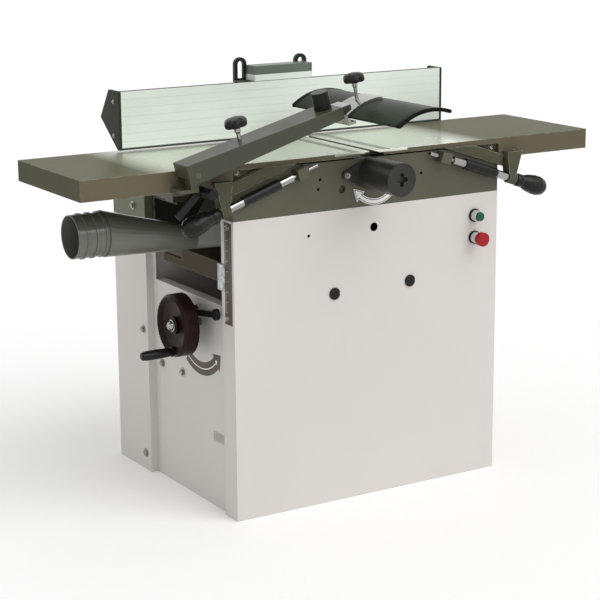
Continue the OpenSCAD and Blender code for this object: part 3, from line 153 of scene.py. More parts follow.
def comb(tree, vec, row):
    # bands round a row of slots that repeats along Y, on both sides of X = 0; "half" and "blur" are in pitches
    split = tree.nodes.new("ShaderNodeSeparateXYZ")
    tree.links.new(vec, split.inputs["Vector"])
    turn = combine(tree, "ADD", combine(tree, "MULTIPLY", split.outputs["Y"], 1 / row["pitch"]), 0.5)
    off = combine(tree, "ABSOLUTE", combine(tree, "SUBTRACT", combine(tree, "FRACT", turn, 0), 0.5), 0)
    band = spread(tree, off, 1, 0, row["half"] - row["blur"], row["half"] + row["blur"])
    reach = combine(tree, "ABSOLUTE", split.outputs["X"], 0)
    start, end = row["reach"]
    near = spread(tree, reach, 0, 1, start - row["soft"], start + row["soft"])
    far = spread(tree, reach, 1, 0, end - row["soft"], end + row["soft"])
    return combine(tree, "MULTIPLY", band, combine(tree, "MULTIPLY", near, far))


# Finishes

bumpDepth = 0.0004
bevelSamples = 6
wearAndSheenLook = {"turned": (0.88, 0.985), "grain": 60, "detail": 4, "broken": (0.35, 0.6)}


def coat(tree, vec, look):
    # colour, roughness and height of one surface; "along" draws the grain out into lines
    base = linear(*look["color"])
    cloud = noise(tree, vec, look["cloud"], 5, None, 0.55)
    color = ramp(tree, cloud, mixColors(base, black, look["shade"]), base)
    grain = noise(tree, vec, look["grain"], 4, look.get("along"), 0.6)
    gloss = noise(tree, vec, look["cloud"] * 3, 5)
    if "lines" in look:
        color = blendBy(tree, "RGBA", look["lines"], color, ramp(tree, grain, grey, white), "MULTIPLY")
        gloss = grain
    return color, spread(tree, gloss, *look["rough"]), grain


def edgeWearAndSheen(tree, vec, normal, amount):
    # where the rounded edge leaves the face, broken up by noise; wear on most parts, partly a painted highlight on
    # the tables' edges
    face = tree.nodes.new("ShaderNodeNewGeometry")
    turn = tree.nodes.new("ShaderNodeVectorMath")
    turn.operation = "DOT_PRODUCT"
    tree.links.new(normal, turn.inputs[0])
    tree.links.new(face.outputs["Normal"], turn.inputs[1])
    edge = spread(tree, turn.outputs["Value"], amount, 0, *wearAndSheenLook["turned"])
    patches = noise(tree, vec, wearAndSheenLook["grain"], wearAndSheenLook["detail"])
    return combine(tree, "MULTIPLY", edge, spread(tree, patches, 0, 1, *wearAndSheenLook["broken"]))


def finish(name, look, zones=()):
    # zones: (planes or slot row, look) pairs, each laid over the ones before it
    mat, tree, shader, vec = startMaterial(name)
    color, rough, height = coat(tree, vec, look)
    metal = look["metal"]
    for zone, other in zones:
        mask = comb(tree, vec, zone) if isinstance(zone, dict) else inside(tree, vec, zone)
        otherColor, otherRough, otherHeight = coat(tree, vec, other)
        color = blendBy(tree, "RGBA", mask, color, otherColor)
        rough = blendBy(tree, "FLOAT", mask, rough, otherRough)
        height = blendBy(tree, "FLOAT", mask, height, otherHeight)
        if other["metal"] != metal:
            metal = blendBy(tree, "FLOAT", mask, metal, other["metal"])
    bump = tree.nodes.new("ShaderNodeBump")
    bump.inputs["Strength"].default_value = look["bump"]
    bump.inputs["Distance"].default_value = bumpDepth
    tree.links.new(height, bump.inputs["Height"])
    if look["edge"]:
        bevel = tree.nodes.new("ShaderNodeBevel")
        bevel.samples = bevelSamples
        bevel.inputs["Radius"].default_value = look["edge"]
        tree.links.new(bevel.outputs["Normal"], bump.inputs["Normal"])
        if "wornAndSheen" in look:
            wearAndSheen = edgeWearAndSheen(tree, vec, bevel.outputs["Normal"], look["wearAndSheen"])
            color = blendBy(tree, "RGBA", wearAndSheen, color, linear(*look["wornAndSheen"]))
    tree.links.new(bump.outputs["Normal"], shader.inputs["Normal"])
    tree.links.new(color, shader.inputs["Base Color"])
    tree.links.new(rough, shader.inputs["Roughness"])
    feed(tree, metal, shader.inputs["Metallic"])
    shader.inputs["Specular IOR Level"].default_value = look["specular"]
    return mat


# Painted sheet and castings
enamelLook = {"color": (215, 211, 206), "cloud": 2.2, "shade": 0.05, "grain": 420, "rough": (0.36, 0.5), "metal": 0,
    "specular": 0.4, "bump": 0.1, "edge": 0.0018, "wornAndSheen": (232, 230, 226), "wearAndSheen": 0.4}
coverTopLook = dict(enamelLook, color=(94, 99, 74), shade=0.12, specular=0.2)
castingLook = {"color": (82, 82, 63), "cloud": 5, "shade": 0.22, "grain": 380, "rough": (0.34, 0.5), "metal": 0,
    "specular": 0.5, "bump": 0.25, "edge": 0.002, "wornAndSheen": (128, 126, 108), "wearAndSheen": 0.55}
# dark inside of the cabinet under the head: painted shade
throatShadeLook = dict(castingLook, color=(44, 46, 41), shade=0.3, specular=0.3, rough=(0.5, 0.65))
armLook = dict(castingLook, color=(66, 68, 53), shade=0.1, rough=(0.3, 0.42), specular=0.36, grain=520, bump=0.1,
    edge=0.0025, wornAndSheen=(112, 114, 98))
hoodLook = dict(castingLook, color=(104, 106, 97), shade=0.08, rough=(0.16, 0.26), specular=0.6, grain=320, bump=0.06,
    edge=0.0014, wearAndSheen=0.25, wornAndSheen=(140, 141, 132))
# Ground and drawn metal
# the light edge colour of the tables, lips and bed is partly wear and partly a painted highlight along the top edges
topLook = {"color": (101, 102, 78), "cloud": 3, "shade": 0.1, "grain": 26, "along": (1, 34, 34), "lines": 0.16,
    "rough": (0.34, 0.5), "metal": 0, "specular": 0.04, "bump": 0.03, "edge": 0.0026, "wornAndSheen": (186, 182, 164),
    "wearAndSheen": 0.8}
# bright polished iron: partly real polish, partly a painted reflection of the white fence; the lips use it too
polishedReflectionLook = dict(topLook, color=(224, 228, 213), shade=0.05, lines=0.1, rough=(0.2, 0.3), metal=0.85)
# painted shade in the lips' slots
slotShadeLook = dict(topLook, color=(38, 39, 33), lines=0, rough=(0.5, 0.65))
skirtLook = dict(topLook, color=(105, 99, 82), shade=0.14, grain=340, along=None, lines=0.1, rough=(0.4, 0.55))
endLook = dict(skirtLook, color=(86, 85, 68))
bedLook = dict(skirtLook, color=(84, 76, 61))
tableCastLook = dict(castingLook, color=(86, 86, 70))
steelLook = {"color": (172, 170, 162), "cloud": 9, "shade": 0.2, "grain": 30, "along": (30, 1, 30), "lines": 0.3,
    "rough": (0.18, 0.34), "metal": 1, "specular": 0.5, "bump": 0.06, "edge": 0.0008, "wornAndSheen": (206, 204, 198),
    "wearAndSheen": 0.5}
ironLook = {"color": (70, 68, 66), "cloud": 8, "shade": 0.35, "grain": 300, "rough": (0.45, 0.65), "metal": 0.2,
    "specular": 0.4, "bump": 0.35, "edge": 0.0012, "wornAndSheen": (116, 112, 108), "wearAndSheen": 0.5}
# chrome greyed and streaked along its length: painted dark reflections
chromeReflectionLook = {"color": (184, 185, 181), "cloud": 14, "shade": 0.3, "grain": 18, "along": (1, 20, 20), "lines": 0.5,
    "rough": (0.06, 0.14), "metal": 1, "specular": 0.5, "bump": 0.03, "edge": 0.0006}
# clear pointer as bright and dark patches: painted glints and reflections
pointerGlintLook = dict(chromeReflectionLook, color=(232, 238, 235), cloud=75, shade=0.8, lines=0.2, metal=0.2)
bronzeLook = dict(steelLook, color=(176, 132, 70), along=(1, 1, 30), wornAndSheen=(206, 166, 104))
fenceLook = {"color": (238, 246, 238), "cloud": 3, "shade": 0.06, "grain": 22, "along": (1, 60, 60), "lines": 0.1,
    "rough": (0.3, 0.42), "metal": 0.2, "specular": 0.4, "bump": 0.05, "edge": 0}
# dark top face and foot band of the fence: painted shade in the top channel and where the fence meets the table; the
# foot band is partly a dark strip
fenceEdgeShadeLook = dict(fenceLook, color=(62, 66, 60), rough=(0.4, 0.55))
supportTopLook = dict(fenceLook, color=(108, 121, 106), shade=0.25, grain=60, lines=0.3)
guardLook = {"color": (52, 60, 48), "cloud": 4, "shade": 0.12, "grain": 24, "along": (60, 1, 60), "lines": 0.25,
    "rough": (0.24, 0.4), "metal": 0.04, "specular": 0.03, "bump": 0.06, "edge": 0.0008}
# Mouldings
knobLook = {"color": (27, 27, 26), "cloud": 14, "shade": 0.3, "grain": 900, "rough": (0.2, 0.36), "metal": 0,
    "specular": 0.24, "bump": 0.1, "edge": 0.0012, "wornAndSheen": (62, 62, 62), "wearAndSheen": 0.4}
endCapLook = dict(knobLook, color=(54, 56, 49), shade=0.12, specular=0.1, rough=(0.4, 0.55))
capLook = dict(knobLook, color=(46, 46, 41), specular=0.35, rough=(0.3, 0.46), grain=700, bump=0.16, edge=0.0016,
    wornAndSheen=(86, 82, 78))
wheelLook = dict(knobLook, color=(39, 23, 22), shade=0.2, specular=0.1, rough=(0.26, 0.4), edge=0.002,
    wornAndSheen=(86, 72, 70))
beltLook = dict(knobLook, color=(26, 26, 26), rough=(0.6, 0.8), specular=0.3, grain=500, bump=0.3, edge=0.0006)
greenLook = dict(knobLook, color=(22, 92, 68), shade=0.15, rough=(0.18, 0.28), wornAndSheen=(70, 140, 112))
redLook = dict(knobLook, color=(164, 26, 30), shade=0.15, rough=(0.18, 0.28), wornAndSheen=(200, 80, 80))
collarLook = dict(knobLook, color=(206, 206, 202), shade=0.08)
# Printed signs
whiteSignLook = {"color": (236, 236, 232), "cloud": 20, "shade": 0.05, "grain": 900, "rough": (0.4, 0.55), "metal": 0,
    "specular": 0.4, "bump": 0.04, "edge": 0}
darkSignLook = dict(whiteSignLook, color=(58, 58, 54), shade=0.15)
brownSignLook = dict(whiteSignLook, color=(96, 78, 70), shade=0.3)
plateLook = dict(whiteSignLook, color=(176, 175, 168), shade=0.18)

# Where a piece changes its finish
# the cabinet above this height gets the painted shade
throatShadeZone = [[("Z", 0.655, 1, 0.002)]]
coverTopZone = [[("Z", 0.672, 1, 0.0006)]]
supportFaceZone = [[("Z", 1.0275, 1, 0.0003)]]
supportTopZone = [[("Z", 1.043, 1, 0.0003)]]
# slot walls below the lip top, darkened as painted shade
slotShadeZone = [[("Z", 0.8797, -1, 0.0002), ("Y", -0.1735, 1, 0.0003)]]
rodEndZone = [[("Y", -0.14, -1, 0.0005)]]
collarZone = [[("Y", -0.1777, -1, 0.0003)]]
castZone = [[("Y", -0.1757, -1, 0.0002)],
            [("Z", 0.829, -1, 0.0004), ("X", -0.42, 1, 0.0004), ("X", 0.42, -1, 0.0004)]]
topZone = [[("Z", 0.8792, 1, 0.0003)]]
# band across the middle of the table tops: polish from use with a painted reflection of the fence laid in
polishedReflectionZone = [[("Z", 0.8792, 1, 0.0003), ("X", -0.56, 1, 0.05), ("X", 0.3, -1, 0.05)]]
endZone = [[("X", -0.7766, -1, 0.0003)]]
# top face and foot of the fence, darkened as painted shade
fenceEdgeShadeZone = [[("Z", 1.0262, 1, 0.0004)], [("Z", 0.8885, -1, 0.0006)]]
# bands round each slot opening on the lips, darkened as painted shade
slotShadeRow = {"pitch": 0.014, "half": 0.24, "blur": 0.048, "reach": (0.0348, 0.0582), "soft": 0.0008}
guardCapZone = [[("Y", -0.4155, -1, 0.0003)], [("Y", 0.0275, 1, 0.0003)]]

cabinetPaint = finish("cabinetPaint", enamelLook)
bodyPaint = finish("bodyPaint", enamelLook, [(throatShadeZone, throatShadeLook)])
coverPaint = finish("coverPaint", enamelLook, [(coverTopZone, coverTopLook)])
headPaint = finish("headPaint", castingLook)
supportPaint = finish("supportPaint", castingLook, [(supportFaceZone, fenceLook), (supportTopZone, supportTopLook)])
armPaint = finish("armPaint", armLook)
hoodPaint = finish("hoodPaint", hoodLook)
tableIron = finish("tableIron", skirtLook, [(endZone, endLook), (castZone, tableCastLook), (topZone, topLook),
                                            (polishedReflectionZone, polishedReflectionLook)])
bedIron = finish("bedIron", bedLook)
lipSteel = finish("lipSteel", polishedReflectionLook, [(slotShadeZone, slotShadeLook), (slotShadeRow, slotShadeLook)])
machinedSteel = finish("machinedSteel", steelLook)
rodSteel = finish("rodSteel", steelLook, [(rodEndZone, castingLook)])
rawIron = finish("rawIron", ironLook)
brightChrome = finish("brightChrome", chromeReflectionLook)
pointerClear = finish("pointerClear", pointerGlintLook)
nutBronze = finish("nutBronze", bronzeLook)
fenceAnodised = finish("fenceAnodised", fenceLook, [(fenceEdgeShadeZone, fenceEdgeShadeLook)])
guardAnodised = finish("guardAnodised", guardLook, [(guardCapZone, knobLook)])
blackMoulding = finish("blackMoulding", knobLook)
endCapMoulding = finish("endCapMoulding", endCapLook)
capMoulding = finish("capMoulding", capLook)
wheelMoulding = finish("wheelMoulding", wheelLook)
beltRubber = finish("beltRubber", beltLook)
greenCap = finish("greenCap", greenLook)
redCap = finish("redCap", redLook)
stationMoulding = finish("stationMoulding", knobLook, [(collarZone, collarLook)])
signWhite = finish("signWhite", whiteSignLook)
signDark = finish("signDark", darkSignLook)
signBrown = finish("signBrown", brownSignLook)
plateGrey = finish("plateGrey", plateLook)
print("finishes made")

finishOf = {
    cabinetPaint: "front_panel",
    bodyPaint: "cabinet",
    coverPaint: "rear_cover",
    headPaint: "front_cheek rear_cheek belt_guard screw_blocks fence_guide guard_bracket",
    supportPaint: "fence_support",
    armPaint: "guard_arm",
    hoodPaint: "dust_hood",
    tableIron: "outfeed_table infeed_table",
    lipSteel: "outfeed_lip infeed_lip",
    bedIron: "thicknesser_table",
    machinedSteel: "cutter_bearings cutter_block wedge_bars chuck table_column "
                   "lift_screw handwheel_shaft fence_bar",
    rodSteel: "feed_roller outfeed_roller kickback_rod",
    rawIron: "cutter_pulley motor motor_pulley feed_chain kickback_fingers column_guide",
    brightChrome: "knives outfeed_screw infeed_screw guard_holder",
    pointerClear: "height_pointer",
    blackMoulding: "outfeed_knob infeed_knob crank_grip height_lock fence_tilt_lever fence_slide_lever "
                   "arm_star_knob arm_drum_knob guard_knob table_lock panel_plugs",
    stationMoulding: "button_station",
    endCapMoulding: "fence_caps",
    capMoulding: "chuck_guard",
    beltRubber: "drive_belt",
    wheelMoulding: "handwheel",
    fenceAnodised: "fence_plate",
    guardAnodised: "bridge_guard",
    nutBronze: "lift_nut",
    greenCap: "start_button",
    redCap: "stop_button",
}
for material, names in finishOf.items():
    for name in names.split():
        mesh = nodes[name].data
        mesh.materials.clear()
        mesh.materials.append(material)
print("finishes on the solids")

# Mesh helpers

toLeft = (-1, 0, 0)
toFront = (0, -1, 0)
mergeDistance = 0.00002
# segments of a washer, and shares of a head's height or radius
headShape = {"round": 24, "bevel": 0.25, "socket": 0.35, "sink": 0.4}


def keepPiece(bm, name, material, body):
    # closes the bmesh into an object that rides on its body
    bmesh.ops.recalc_face_normals(bm, faces=bm.faces)
    mesh = bpy.data.meshes.new(name)
    bm.to_mesh(mesh)
    bm.free()
    mesh.materials.append(material)
    piece = bpy.data.objects.new(name, mesh)
    bpy.context.scene.collection.objects.link(piece)
    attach(piece, body)
    return piece


def addTo(bm, local, place):
    # places a small mesh and joins it to the piece
    bmesh.ops.transform(local, matrix=place, verts=local.verts)
    temp = bpy.data.meshes.new("temp")
    local.to_mesh(temp)
    local.free()
    bm.from_mesh(temp)
    bpy.data.meshes.remove(temp)


def facing(place, normal):
    # moves to a place and turns +Z onto the given normal
    turn = Vector((0, 0, 1)).rotation_difference(Vector(normal)).to_matrix().to_4x4()
    return Matrix.Translation(place) @ turn


def addHead(bm, place, normal, size, sides=6):
    # bolt or screw head: bevelled prism with a shallow socket, on a washer
    local = bmesh.new()
    bmesh.ops.create_cone(local, cap_ends=True, segments=headShape["round"], radius1=size["washerR"],
                          radius2=size["washerR"], depth=size["washer"],
                          matrix=Matrix.Translation((0, 0, size["washer"] / 2)))
    bmesh.ops.create_cone(local, cap_ends=True, segments=sides, radius1=size["r"], radius2=size["r"], depth=size["h"],
                          matrix=Matrix.Translation((0, 0, size["washer"] + size["h"] / 2)))
    local.normal_update()
    cap = max(local.faces, key=lambda f: f.calc_center_median().z)
    bmesh.ops.bevel(local, geom=list(cap.edges), offset=size["h"] * headShape["bevel"], segments=2, profile=0.5,
                    affect="EDGES", material=-1)
    cap = max(local.faces, key=lambda f: (round(f.calc_center_median().z, 6), f.calc_area()))
    bmesh.ops.inset_region(local, faces=[cap], thickness=size["r"] * headShape["socket"])
    bmesh.ops.translate(local, verts=list(cap.verts), vec=(0, 0, -size["h"] * headShape["sink"]))
    addTo(bm, local, facing(place, normal))


def lathe(bm, profile, place, steps=40):
    # profile of (radius, height) pairs turned about +Z; ends on the axis are closed
    local = bmesh.new()
    points = [local.verts.new((r, 0, z)) for r, z in profile]
    edges = [local.edges.new(pair) for pair in zip(points, points[1:])]
    bmesh.ops.spin(local, geom=points + edges, cent=(0, 0, 0), axis=(0, 0, 1), angle=2 * pi, steps=steps,
                   use_merge=True)
    bmesh.ops.remove_doubles(local, verts=local.verts, dist=mergeDistance)
    bmesh.ops.recalc_face_normals(local, faces=local.faces)
    addTo(bm, local, place)


def slab(bm, low, high, edge):
    # thin plate between two corners; edges broken where "edge" isn't zero
    low, high = Vector(low), Vector(high)
    made = bmesh.ops.create_cube(bm, size=1)["verts"]
    bmesh.ops.scale(bm, vec=high - low, verts=made)
    bmesh.ops.translate(bm, vec=(high + low) / 2, verts=made)
    edges = list(dict.fromkeys(e for v in made for e in v.link_edges))
    if edge:
        bmesh.ops.bevel(bm, geom=edges, offset=edge, segments=2, profile=0.5, affect="EDGES", material=-1)


def smoothPiece(piece, angle):
    for face in piece.data.polygons:
        face.use_smooth = True
    piece.data.set_sharp_from_angle(angle=radians(angle))


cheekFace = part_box("front_cheek")[0].y
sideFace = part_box("cabinet")[0].x
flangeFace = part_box("front_panel")[0].x
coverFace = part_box("rear_cover")[0].x
cutterZ = 0.826
smallHeadSides = 16

# Bolts on the left wall and the rear cover
wallBolt = {"r": 0.0075, "h": 0.0055, "washer": 0.0018, "washerR": 0.0115,
    "wall": [(0.230, 0.307), (0.119, 0.309)], "cover": [(0.338, 0.707), (0.297, 0.386), (0.300, 0.047)]}
bolts = bmesh.new()
for y, z in wallBolt["wall"]:
    addHead(bolts, (sideFace, y, z), toLeft, wallBolt)
for y, z in wallBolt["cover"]:
    addHead(bolts, (coverFace, y, z), toLeft, wallBolt)
keepPiece(bolts, "sideBolts", machinedSteel, "frame")

# Screws on the cutter cap's ears
capScrew = {"r": 0.0055, "h": 0.005, "washer": 0.0015, "washerR": 0.0085, "x": 0.073, "ear": 0.007}
screws = bmesh.new()
for side in (-1, 1):
    place = (side * capScrew["x"], cheekFace - capScrew["ear"], cutterZ)
    addHead(screws, place, toFront, capScrew, smallHeadSides)
keepPiece(screws, "capScrews", machinedSteel, "frame")

# Bolts in the pockets of the table edges, one for each table
edgeBolt = {"r": 0.0062, "h": 0.005, "washer": 0.0012, "washerR": 0.0072, "x": 0.371, "y": -0.161, "z": 0.855}
for body, side in (("outfeed", -1), ("infeed", 1)):
    edgeBolts = bmesh.new()
    addHead(edgeBolts, (side * edgeBolt["x"], edgeBolt["y"], edgeBolt["z"]), toFront, edgeBolt)
    keepPiece(edgeBolts, body + "EdgeBolt", machinedSteel, body)

# Screws in the fence's left end cap
fenceScrew = {"r": 0.004, "h": 0.0025, "washer": 0.0008, "washerR": 0.0055, "at": [(0.179, 1.000), (0.181, 0.9165)]}
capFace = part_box("fence_caps")[0].x
ends = bmesh.new()
for y, z in fenceScrew["at"]:
    addHead(ends, (capFace, y, z), toLeft, fenceScrew, smallHeadSides)
keepPiece(ends, "fenceScrews", machinedSteel, "fence")
print("fasteners made")

# Height scale on the panel's flange, with ticks and a bolt at each end
scaleLook = {"y": (-0.163, -0.125), "z": (0.490, 0.738), "t": 0.0008, "edge": 0.0003, "ink": 0.0002,
    "line": (0.003, 0.0006), "lineInset": 0.002, "tick": 0.005, "tickT": 0.0009, "first": 0.03, "free": 0.04,
    "group": 5, "long": 0.016, "short": 0.009, "bolts": [(-0.140, 0.504), (-0.146, 0.729)]}
scaleFace = flangeFace - scaleLook["t"]
inkFace = scaleFace - scaleLook["ink"]
scaleFront, scaleBack = scaleLook["y"]
scaleFoot, scaleTop = scaleLook["z"]
strip = bmesh.new()
slab(strip, (scaleFace, scaleFront, scaleFoot), (flangeFace, scaleBack, scaleTop), scaleLook["edge"])
keepPiece(strip, "heightScale", signBrown, "frame")
ticks = bmesh.new()
lineFront, lineBack = (scaleBack - inset for inset in scaleLook["line"])
slab(ticks, (inkFace, lineFront, scaleFoot + scaleLook["lineInset"]),
     (scaleFace, lineBack, scaleTop - scaleLook["lineInset"]), 0)
count = int((scaleTop - scaleFoot - scaleLook["free"]) / scaleLook["tick"])
for i in range(count):
    z = scaleFoot + scaleLook["first"] + i * scaleLook["tick"]
    reach = scaleLook["long"] if i % scaleLook["group"] == 0 else scaleLook["short"]
    slab(ticks, (inkFace, lineFront - reach, z - scaleLook["tickT"] / 2),
         (scaleFace, lineFront, z + scaleLook["tickT"] / 2), 0)
keepPiece(ticks, "scaleTicks", signWhite, "frame")
scaleBolt = {"r": 0.006, "h": 0.004, "washer": 0.0012, "washerR": 0.0085}
scaleBolts = bmesh.new()
for y, z in scaleLook["bolts"]:
    addHead(scaleBolts, (scaleFace, y, z), toLeft, scaleBolt)
keepPiece(scaleBolts, "scaleBolt", machinedSteel, "frame")

# Bare plate on the left wall, riveted at its ends
plateSize = {"y": (-0.101, -0.039), "z": (0.173, 0.197), "t": 0.0008, "edge": 0.0003, "rivetInset": 0.004,
    "rivet": [(0, 0.0008), (0.00126, 0.0006), (0.0018, 0), (0, -0.0002)], "rivetSteps": 16}
plateFace = sideFace - plateSize["t"]
plateFront, plateBack = plateSize["y"]
plateFoot, plateTop = plateSize["z"]
plate = bmesh.new()
slab(plate, (plateFace, plateFront, plateFoot), (sideFace, plateBack, plateTop), plateSize["edge"])
middle = (plateFoot + plateTop) / 2
for y in (plateFront + plateSize["rivetInset"], plateBack - plateSize["rivetInset"]):
    lathe(plate, plateSize["rivet"], facing((plateFace, y, middle), toLeft), plateSize["rivetSteps"])
keepPiece(plate, "barePlate", plateGrey, "frame")
print("scale and plate made")


# Printed arrows: a flat band turned about a centre, with a pointed head; a border grows on all sides
arrowShape = {"steps": 30, "barbGrow": 1.6, "pointGrow": 1.8}


def arrowBand(look, grow, lift):
    bm = bmesh.new()
    wide = look["width"] / 2 + grow
    way = 1 if look["to"] > look["from"] else -1
    ends = [bm.verts.new((look["radius"] - wide, 0, lift)), bm.verts.new((look["radius"] + wide, 0, lift))]
    edge = bm.edges.new(ends)
    start = radians(look["from"]) - way * grow / look["radius"]
    bmesh.ops.rotate(bm, cent=(0, 0, 0), matrix=Matrix.Rotation(start, 3, "Z"), verts=bm.verts)
    end = radians(look["to"])
    bmesh.ops.spin(bm, geom=ends + [edge], cent=(0, 0, 0), axis=(0, 0, 1), angle=end - start,
                   steps=arrowShape["steps"])
    ring = Vector((cos(end), sin(end), 0))
    along = Vector((-sin(end), cos(end), 0)) * way
    barb = look["barb"] + grow * arrowShape["barbGrow"]
    reach = look["point"] + grow * arrowShape["pointGrow"]
    middle = ring * look["radius"] + Vector((0, 0, lift))
    back = along * grow
    bm.faces.new([bm.verts.new(p) for p in (middle - ring * barb - back, middle + ring * barb - back,
                                            middle + along * reach - ring * look["lean"])])
    # solidify needs the normals of the faces made above
    bm.normal_update()
    bmesh.ops.solidify(bm, geom=bm.faces[:], thickness=look["t"])
    return bm


def printArrow(look, place, layers):
    for name, material, grow, lift in layers:
        bm = arrowBand(look, grow, lift)
        bmesh.ops.transform(bm, matrix=place, verts=bm.verts)
        keepPiece(bm, name, material, "frame")


# Drawn on XY and turned onto the front, or onto the left wall
frontTurn = Matrix.Rotation(radians(90), 4, "X")
sideTurn = Matrix(((0, 0, -1, 0), (-1, 0, 0, 0), (0, 1, 0, 0), (0, 0, 0, 1)))
cutterArrow = {"radius": 0.0665, "width": 0.008, "from": 315, "to": 227, "barb": 0.011, "point": 0.021, "lean": 0.001,
    "t": 0.0002, "centre": (0.0127, 0.8198)}
arrowX, arrowZ = cutterArrow["centre"]
printArrow(cutterArrow, Matrix.Translation((arrowX, cheekFace, arrowZ)) @ frontTurn,
           [("arrowBorder", signWhite, 0.0036, 0.0003), ("arrowLine", signDark, 0.0015, 0.0006),
            ("arrowFill", signWhite, 0, 0.0009)])
wheelArrow = {"radius": 0.119, "width": 0.034, "from": 236, "to": 312, "barb": 0.027, "point": 0.034, "lean": 0.002,
    "t": 0.0002, "centre": (0.022, 0.462)}
wheelLine = dict(wheelArrow, width=0.003, barb=0.007, point=0.010)
wheelPlace = Matrix.Translation((sideFace, *wheelArrow["centre"])) @ sideTurn
printArrow(wheelArrow, wheelPlace, [("wheelArrow", signBrown, 0, 0.0003)])
printArrow(wheelLine, wheelPlace, [("wheelArrowLine", signWhite, 0, 0.0006)])
print("arrows made")

# Chrome dome nut on the handwheel's hub
wheelNut = {"r": 0.012, "h": 0.014, "y": 0.022, "z": 0.462, "hub": 0.0225, "seat": 0.001, "flange": 1.25,
    "shape": [(1.25, 0.2), (1, 0.25), (0.94, 0.55), (0.72, 0.85), (0.4, 0.98), (0, 1)]}
hubAxis = Vector((wheelNut["y"], wheelNut["z"]))
hubFace = min(v.co.x for v in nodes["handwheel"].data.vertices if (v.co.yz - hubAxis).length < wheelNut["hub"])
nut = bmesh.new()
base = [(0, -wheelNut["seat"]), (wheelNut["r"] * wheelNut["flange"], -wheelNut["seat"])]
dome = [(share * wheelNut["r"], rise * wheelNut["h"]) for share, rise in wheelNut["shape"]]
lathe(nut, base + dome, facing((hubFace, *hubAxis), toLeft))
smoothPiece(keepPiece(nut, "wheelNut", brightChrome, "handwheel"), 35)


# Lobed clamp knobs: fluted disc drawn up into a dome, on a chrome stem
pointsPerLobe = 12


def lobedHead(bm, look, place):
    local = bmesh.new()
    points = look["lobes"] * pointsPerLobe
    ring = bmesh.ops.create_circle(local, cap_ends=True, segments=points, radius=look["r"])["verts"]
    for v in ring:
        turn = atan2(v.co.y, v.co.x) * look["lobes"]
        v.co.xy *= 1 - look["flute"] * (0.5 - 0.5 * cos(turn)) ** 2
    face = ring[0].link_faces[0]
    size, height = 1, 0
    for share, rise in look["shape"]:
        made = bmesh.ops.extrude_face_region(local, geom=[face])["geom"]
        face = [g for g in made if isinstance(g, bmesh.types.BMFace)][0]
        bmesh.ops.scale(local, vec=(share / size, share / size, 1), verts=face.verts[:])
        bmesh.ops.translate(local, vec=(0, 0, (rise - height) * look["h"]), verts=face.verts[:])
        size, height = share, rise
    bmesh.ops.recalc_face_normals(local, faces=local.faces)
    addTo(bm, local, place)


# shares of the radius and the height, from the disc to the top of the dome
domeShape = [(1.12, 0.1), (1.16, 0.3), (1.14, 0.52), (1.02, 0.74), (0.8, 0.88), (0.5, 0.96), (0.2, 1.0)]
stemShape = [(0, 0), (1, 0), (1, 0.7), (1.5, 0.76), (1.5, 1), (0, 1)]
knobFit = {"rim": 0.0005, "overlap": 0.002, "stemSteps": 32}
knobs = {
    "arm_star_knob": {"tilt": 13.9, "r": 0.0245, "h": 0.023, "lobes": 6, "flute": 0.16, "shape": domeShape,
        "stemR": 0.005},
    "guard_knob": {"tilt": 10, "r": 0.0235, "h": 0.022, "lobes": 6, "flute": 0.16, "shape": domeShape,
        "stemR": 0.0046},
}
for node, look in knobs.items():
    tilt = radians(look["tilt"])
    axis = Vector((-sin(tilt), 0, cos(tilt)))
    # the head's foot is one head height below the solid's top, along the tilted axis
    solid = nodes[node].data
    top = max(v.co.dot(axis) for v in solid.vertices)
    bottom = min(v.co.dot(axis) for v in solid.vertices)
    rim = [v.co for v in solid.vertices if v.co.dot(axis) > top - knobFit["rim"]]
    centre = sum(rim, Vector()) / len(rim)
    foot = centre - axis * look["h"]
    head = bmesh.new()
    lobedHead(head, look, facing(foot, axis))
    piece = keepPiece(head, node + "Head", blackMoulding, node)
    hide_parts(node)
    smoothPiece(piece, 40)
    stem = bmesh.new()
    below = foot.dot(axis) - bottom
    length = below + knobFit["overlap"]
    profile = [(share * look["stemR"], rise * length) for share, rise in stemShape]
    lathe(stem, profile, facing(foot - axis * below, axis), knobFit["stemSteps"])
    smoothPiece(keepPiece(stem, node + "Stem", brightChrome, node), 35)
print("knobs made")

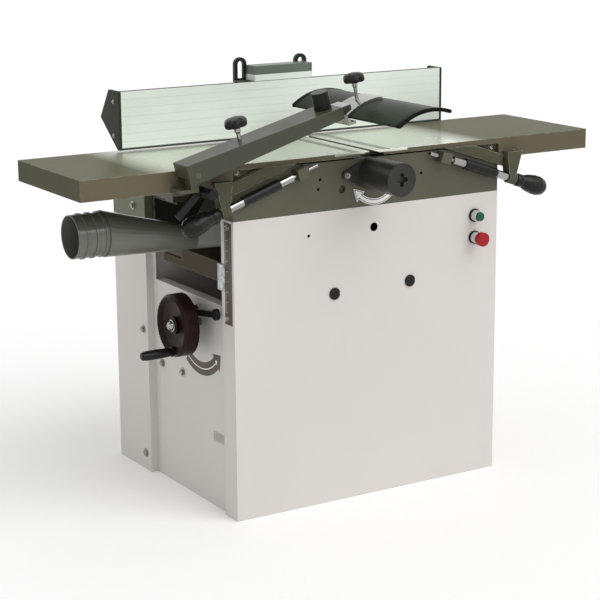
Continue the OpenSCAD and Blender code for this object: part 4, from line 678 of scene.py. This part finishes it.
# Camera as the photograph's
cameraLook = {"place": (-2.3737, -3.7233, 1.5389), "target": (-0.10287, -0.00305, 0.48529), "lens": 106.07,
    "sensor": 36, "roll": -0.4}
camData = bpy.data.cameras.new("camera")
camData.lens = cameraLook["lens"]
camData.sensor_width = cameraLook["sensor"]
camera = bpy.data.objects.new("camera", camData)
bpy.context.scene.collection.objects.link(camera)
aim = (Vector(cameraLook["target"]) - Vector(cameraLook["place"])).to_track_quat("-Z", "Y").to_matrix().to_4x4()
roll = Matrix.Rotation(radians(cameraLook["roll"]), 4, "Z")
camera.matrix_world = Matrix.Translation(cameraLook["place"]) @ aim @ roll
bpy.context.scene.camera = camera

# White floor, soft sun and an even sky that shows white
studio = {"floor": 30, "floorColor": (253, 253, 253), "floorRough": 0.9, "floorLift": 0.07,
    "sunFrom": (0.35, -0.75, 0.9), "sun": 1.25, "sunAngle": 50, "sky": 0.66}
bm = bmesh.new()
bmesh.ops.create_grid(bm, x_segments=1, y_segments=1, size=studio["floor"])
floorMesh = bpy.data.meshes.new("floor")
bm.to_mesh(floorMesh)
bm.free()
floor = bpy.data.objects.new("floor", floorMesh)
bpy.context.scene.collection.objects.link(floor)
floorMat, tree, shader = startMaterial("floorPaper")[:3]
shader.inputs["Base Color"].default_value = linear(*studio["floorColor"])
shader.inputs["Roughness"].default_value = studio["floorRough"]
rays = tree.nodes.new("ShaderNodeLightPath")
shader.inputs["Emission Color"].default_value = white
lift = spread(tree, rays.outputs["Is Camera Ray"], 0, studio["floorLift"], 0, 1)
tree.links.new(lift, shader.inputs["Emission Strength"])
floorMesh.materials.append(floorMat)

sunData = bpy.data.lights.new("softSun", "SUN")
sunData.energy = studio["sun"]
sunData.angle = radians(studio["sunAngle"])
sun = bpy.data.objects.new("softSun", sunData)
bpy.context.scene.collection.objects.link(sun)
sun.matrix_world = Vector(studio["sunFrom"]).to_track_quat("Z", "Y").to_matrix().to_4x4()

world = bpy.data.worlds.new("studio")
bpy.context.scene.world = world
world.use_nodes = True
tree = world.node_tree
background = tree.nodes["Background"]
background.inputs["Color"].default_value = white
rays = tree.nodes.new("ShaderNodeLightPath")
seen = combine(tree, "MAXIMUM", rays.outputs["Is Camera Ray"], rays.outputs["Is Glossy Ray"])
seen = combine(tree, "MAXIMUM", seen, rays.outputs["Is Transmission Ray"])
tree.links.new(spread(tree, seen, studio["sky"], 1, 0, 1), background.inputs["Strength"])
bpy.context.scene.view_settings.view_transform = "Standard"
print("camera, floor and light set")
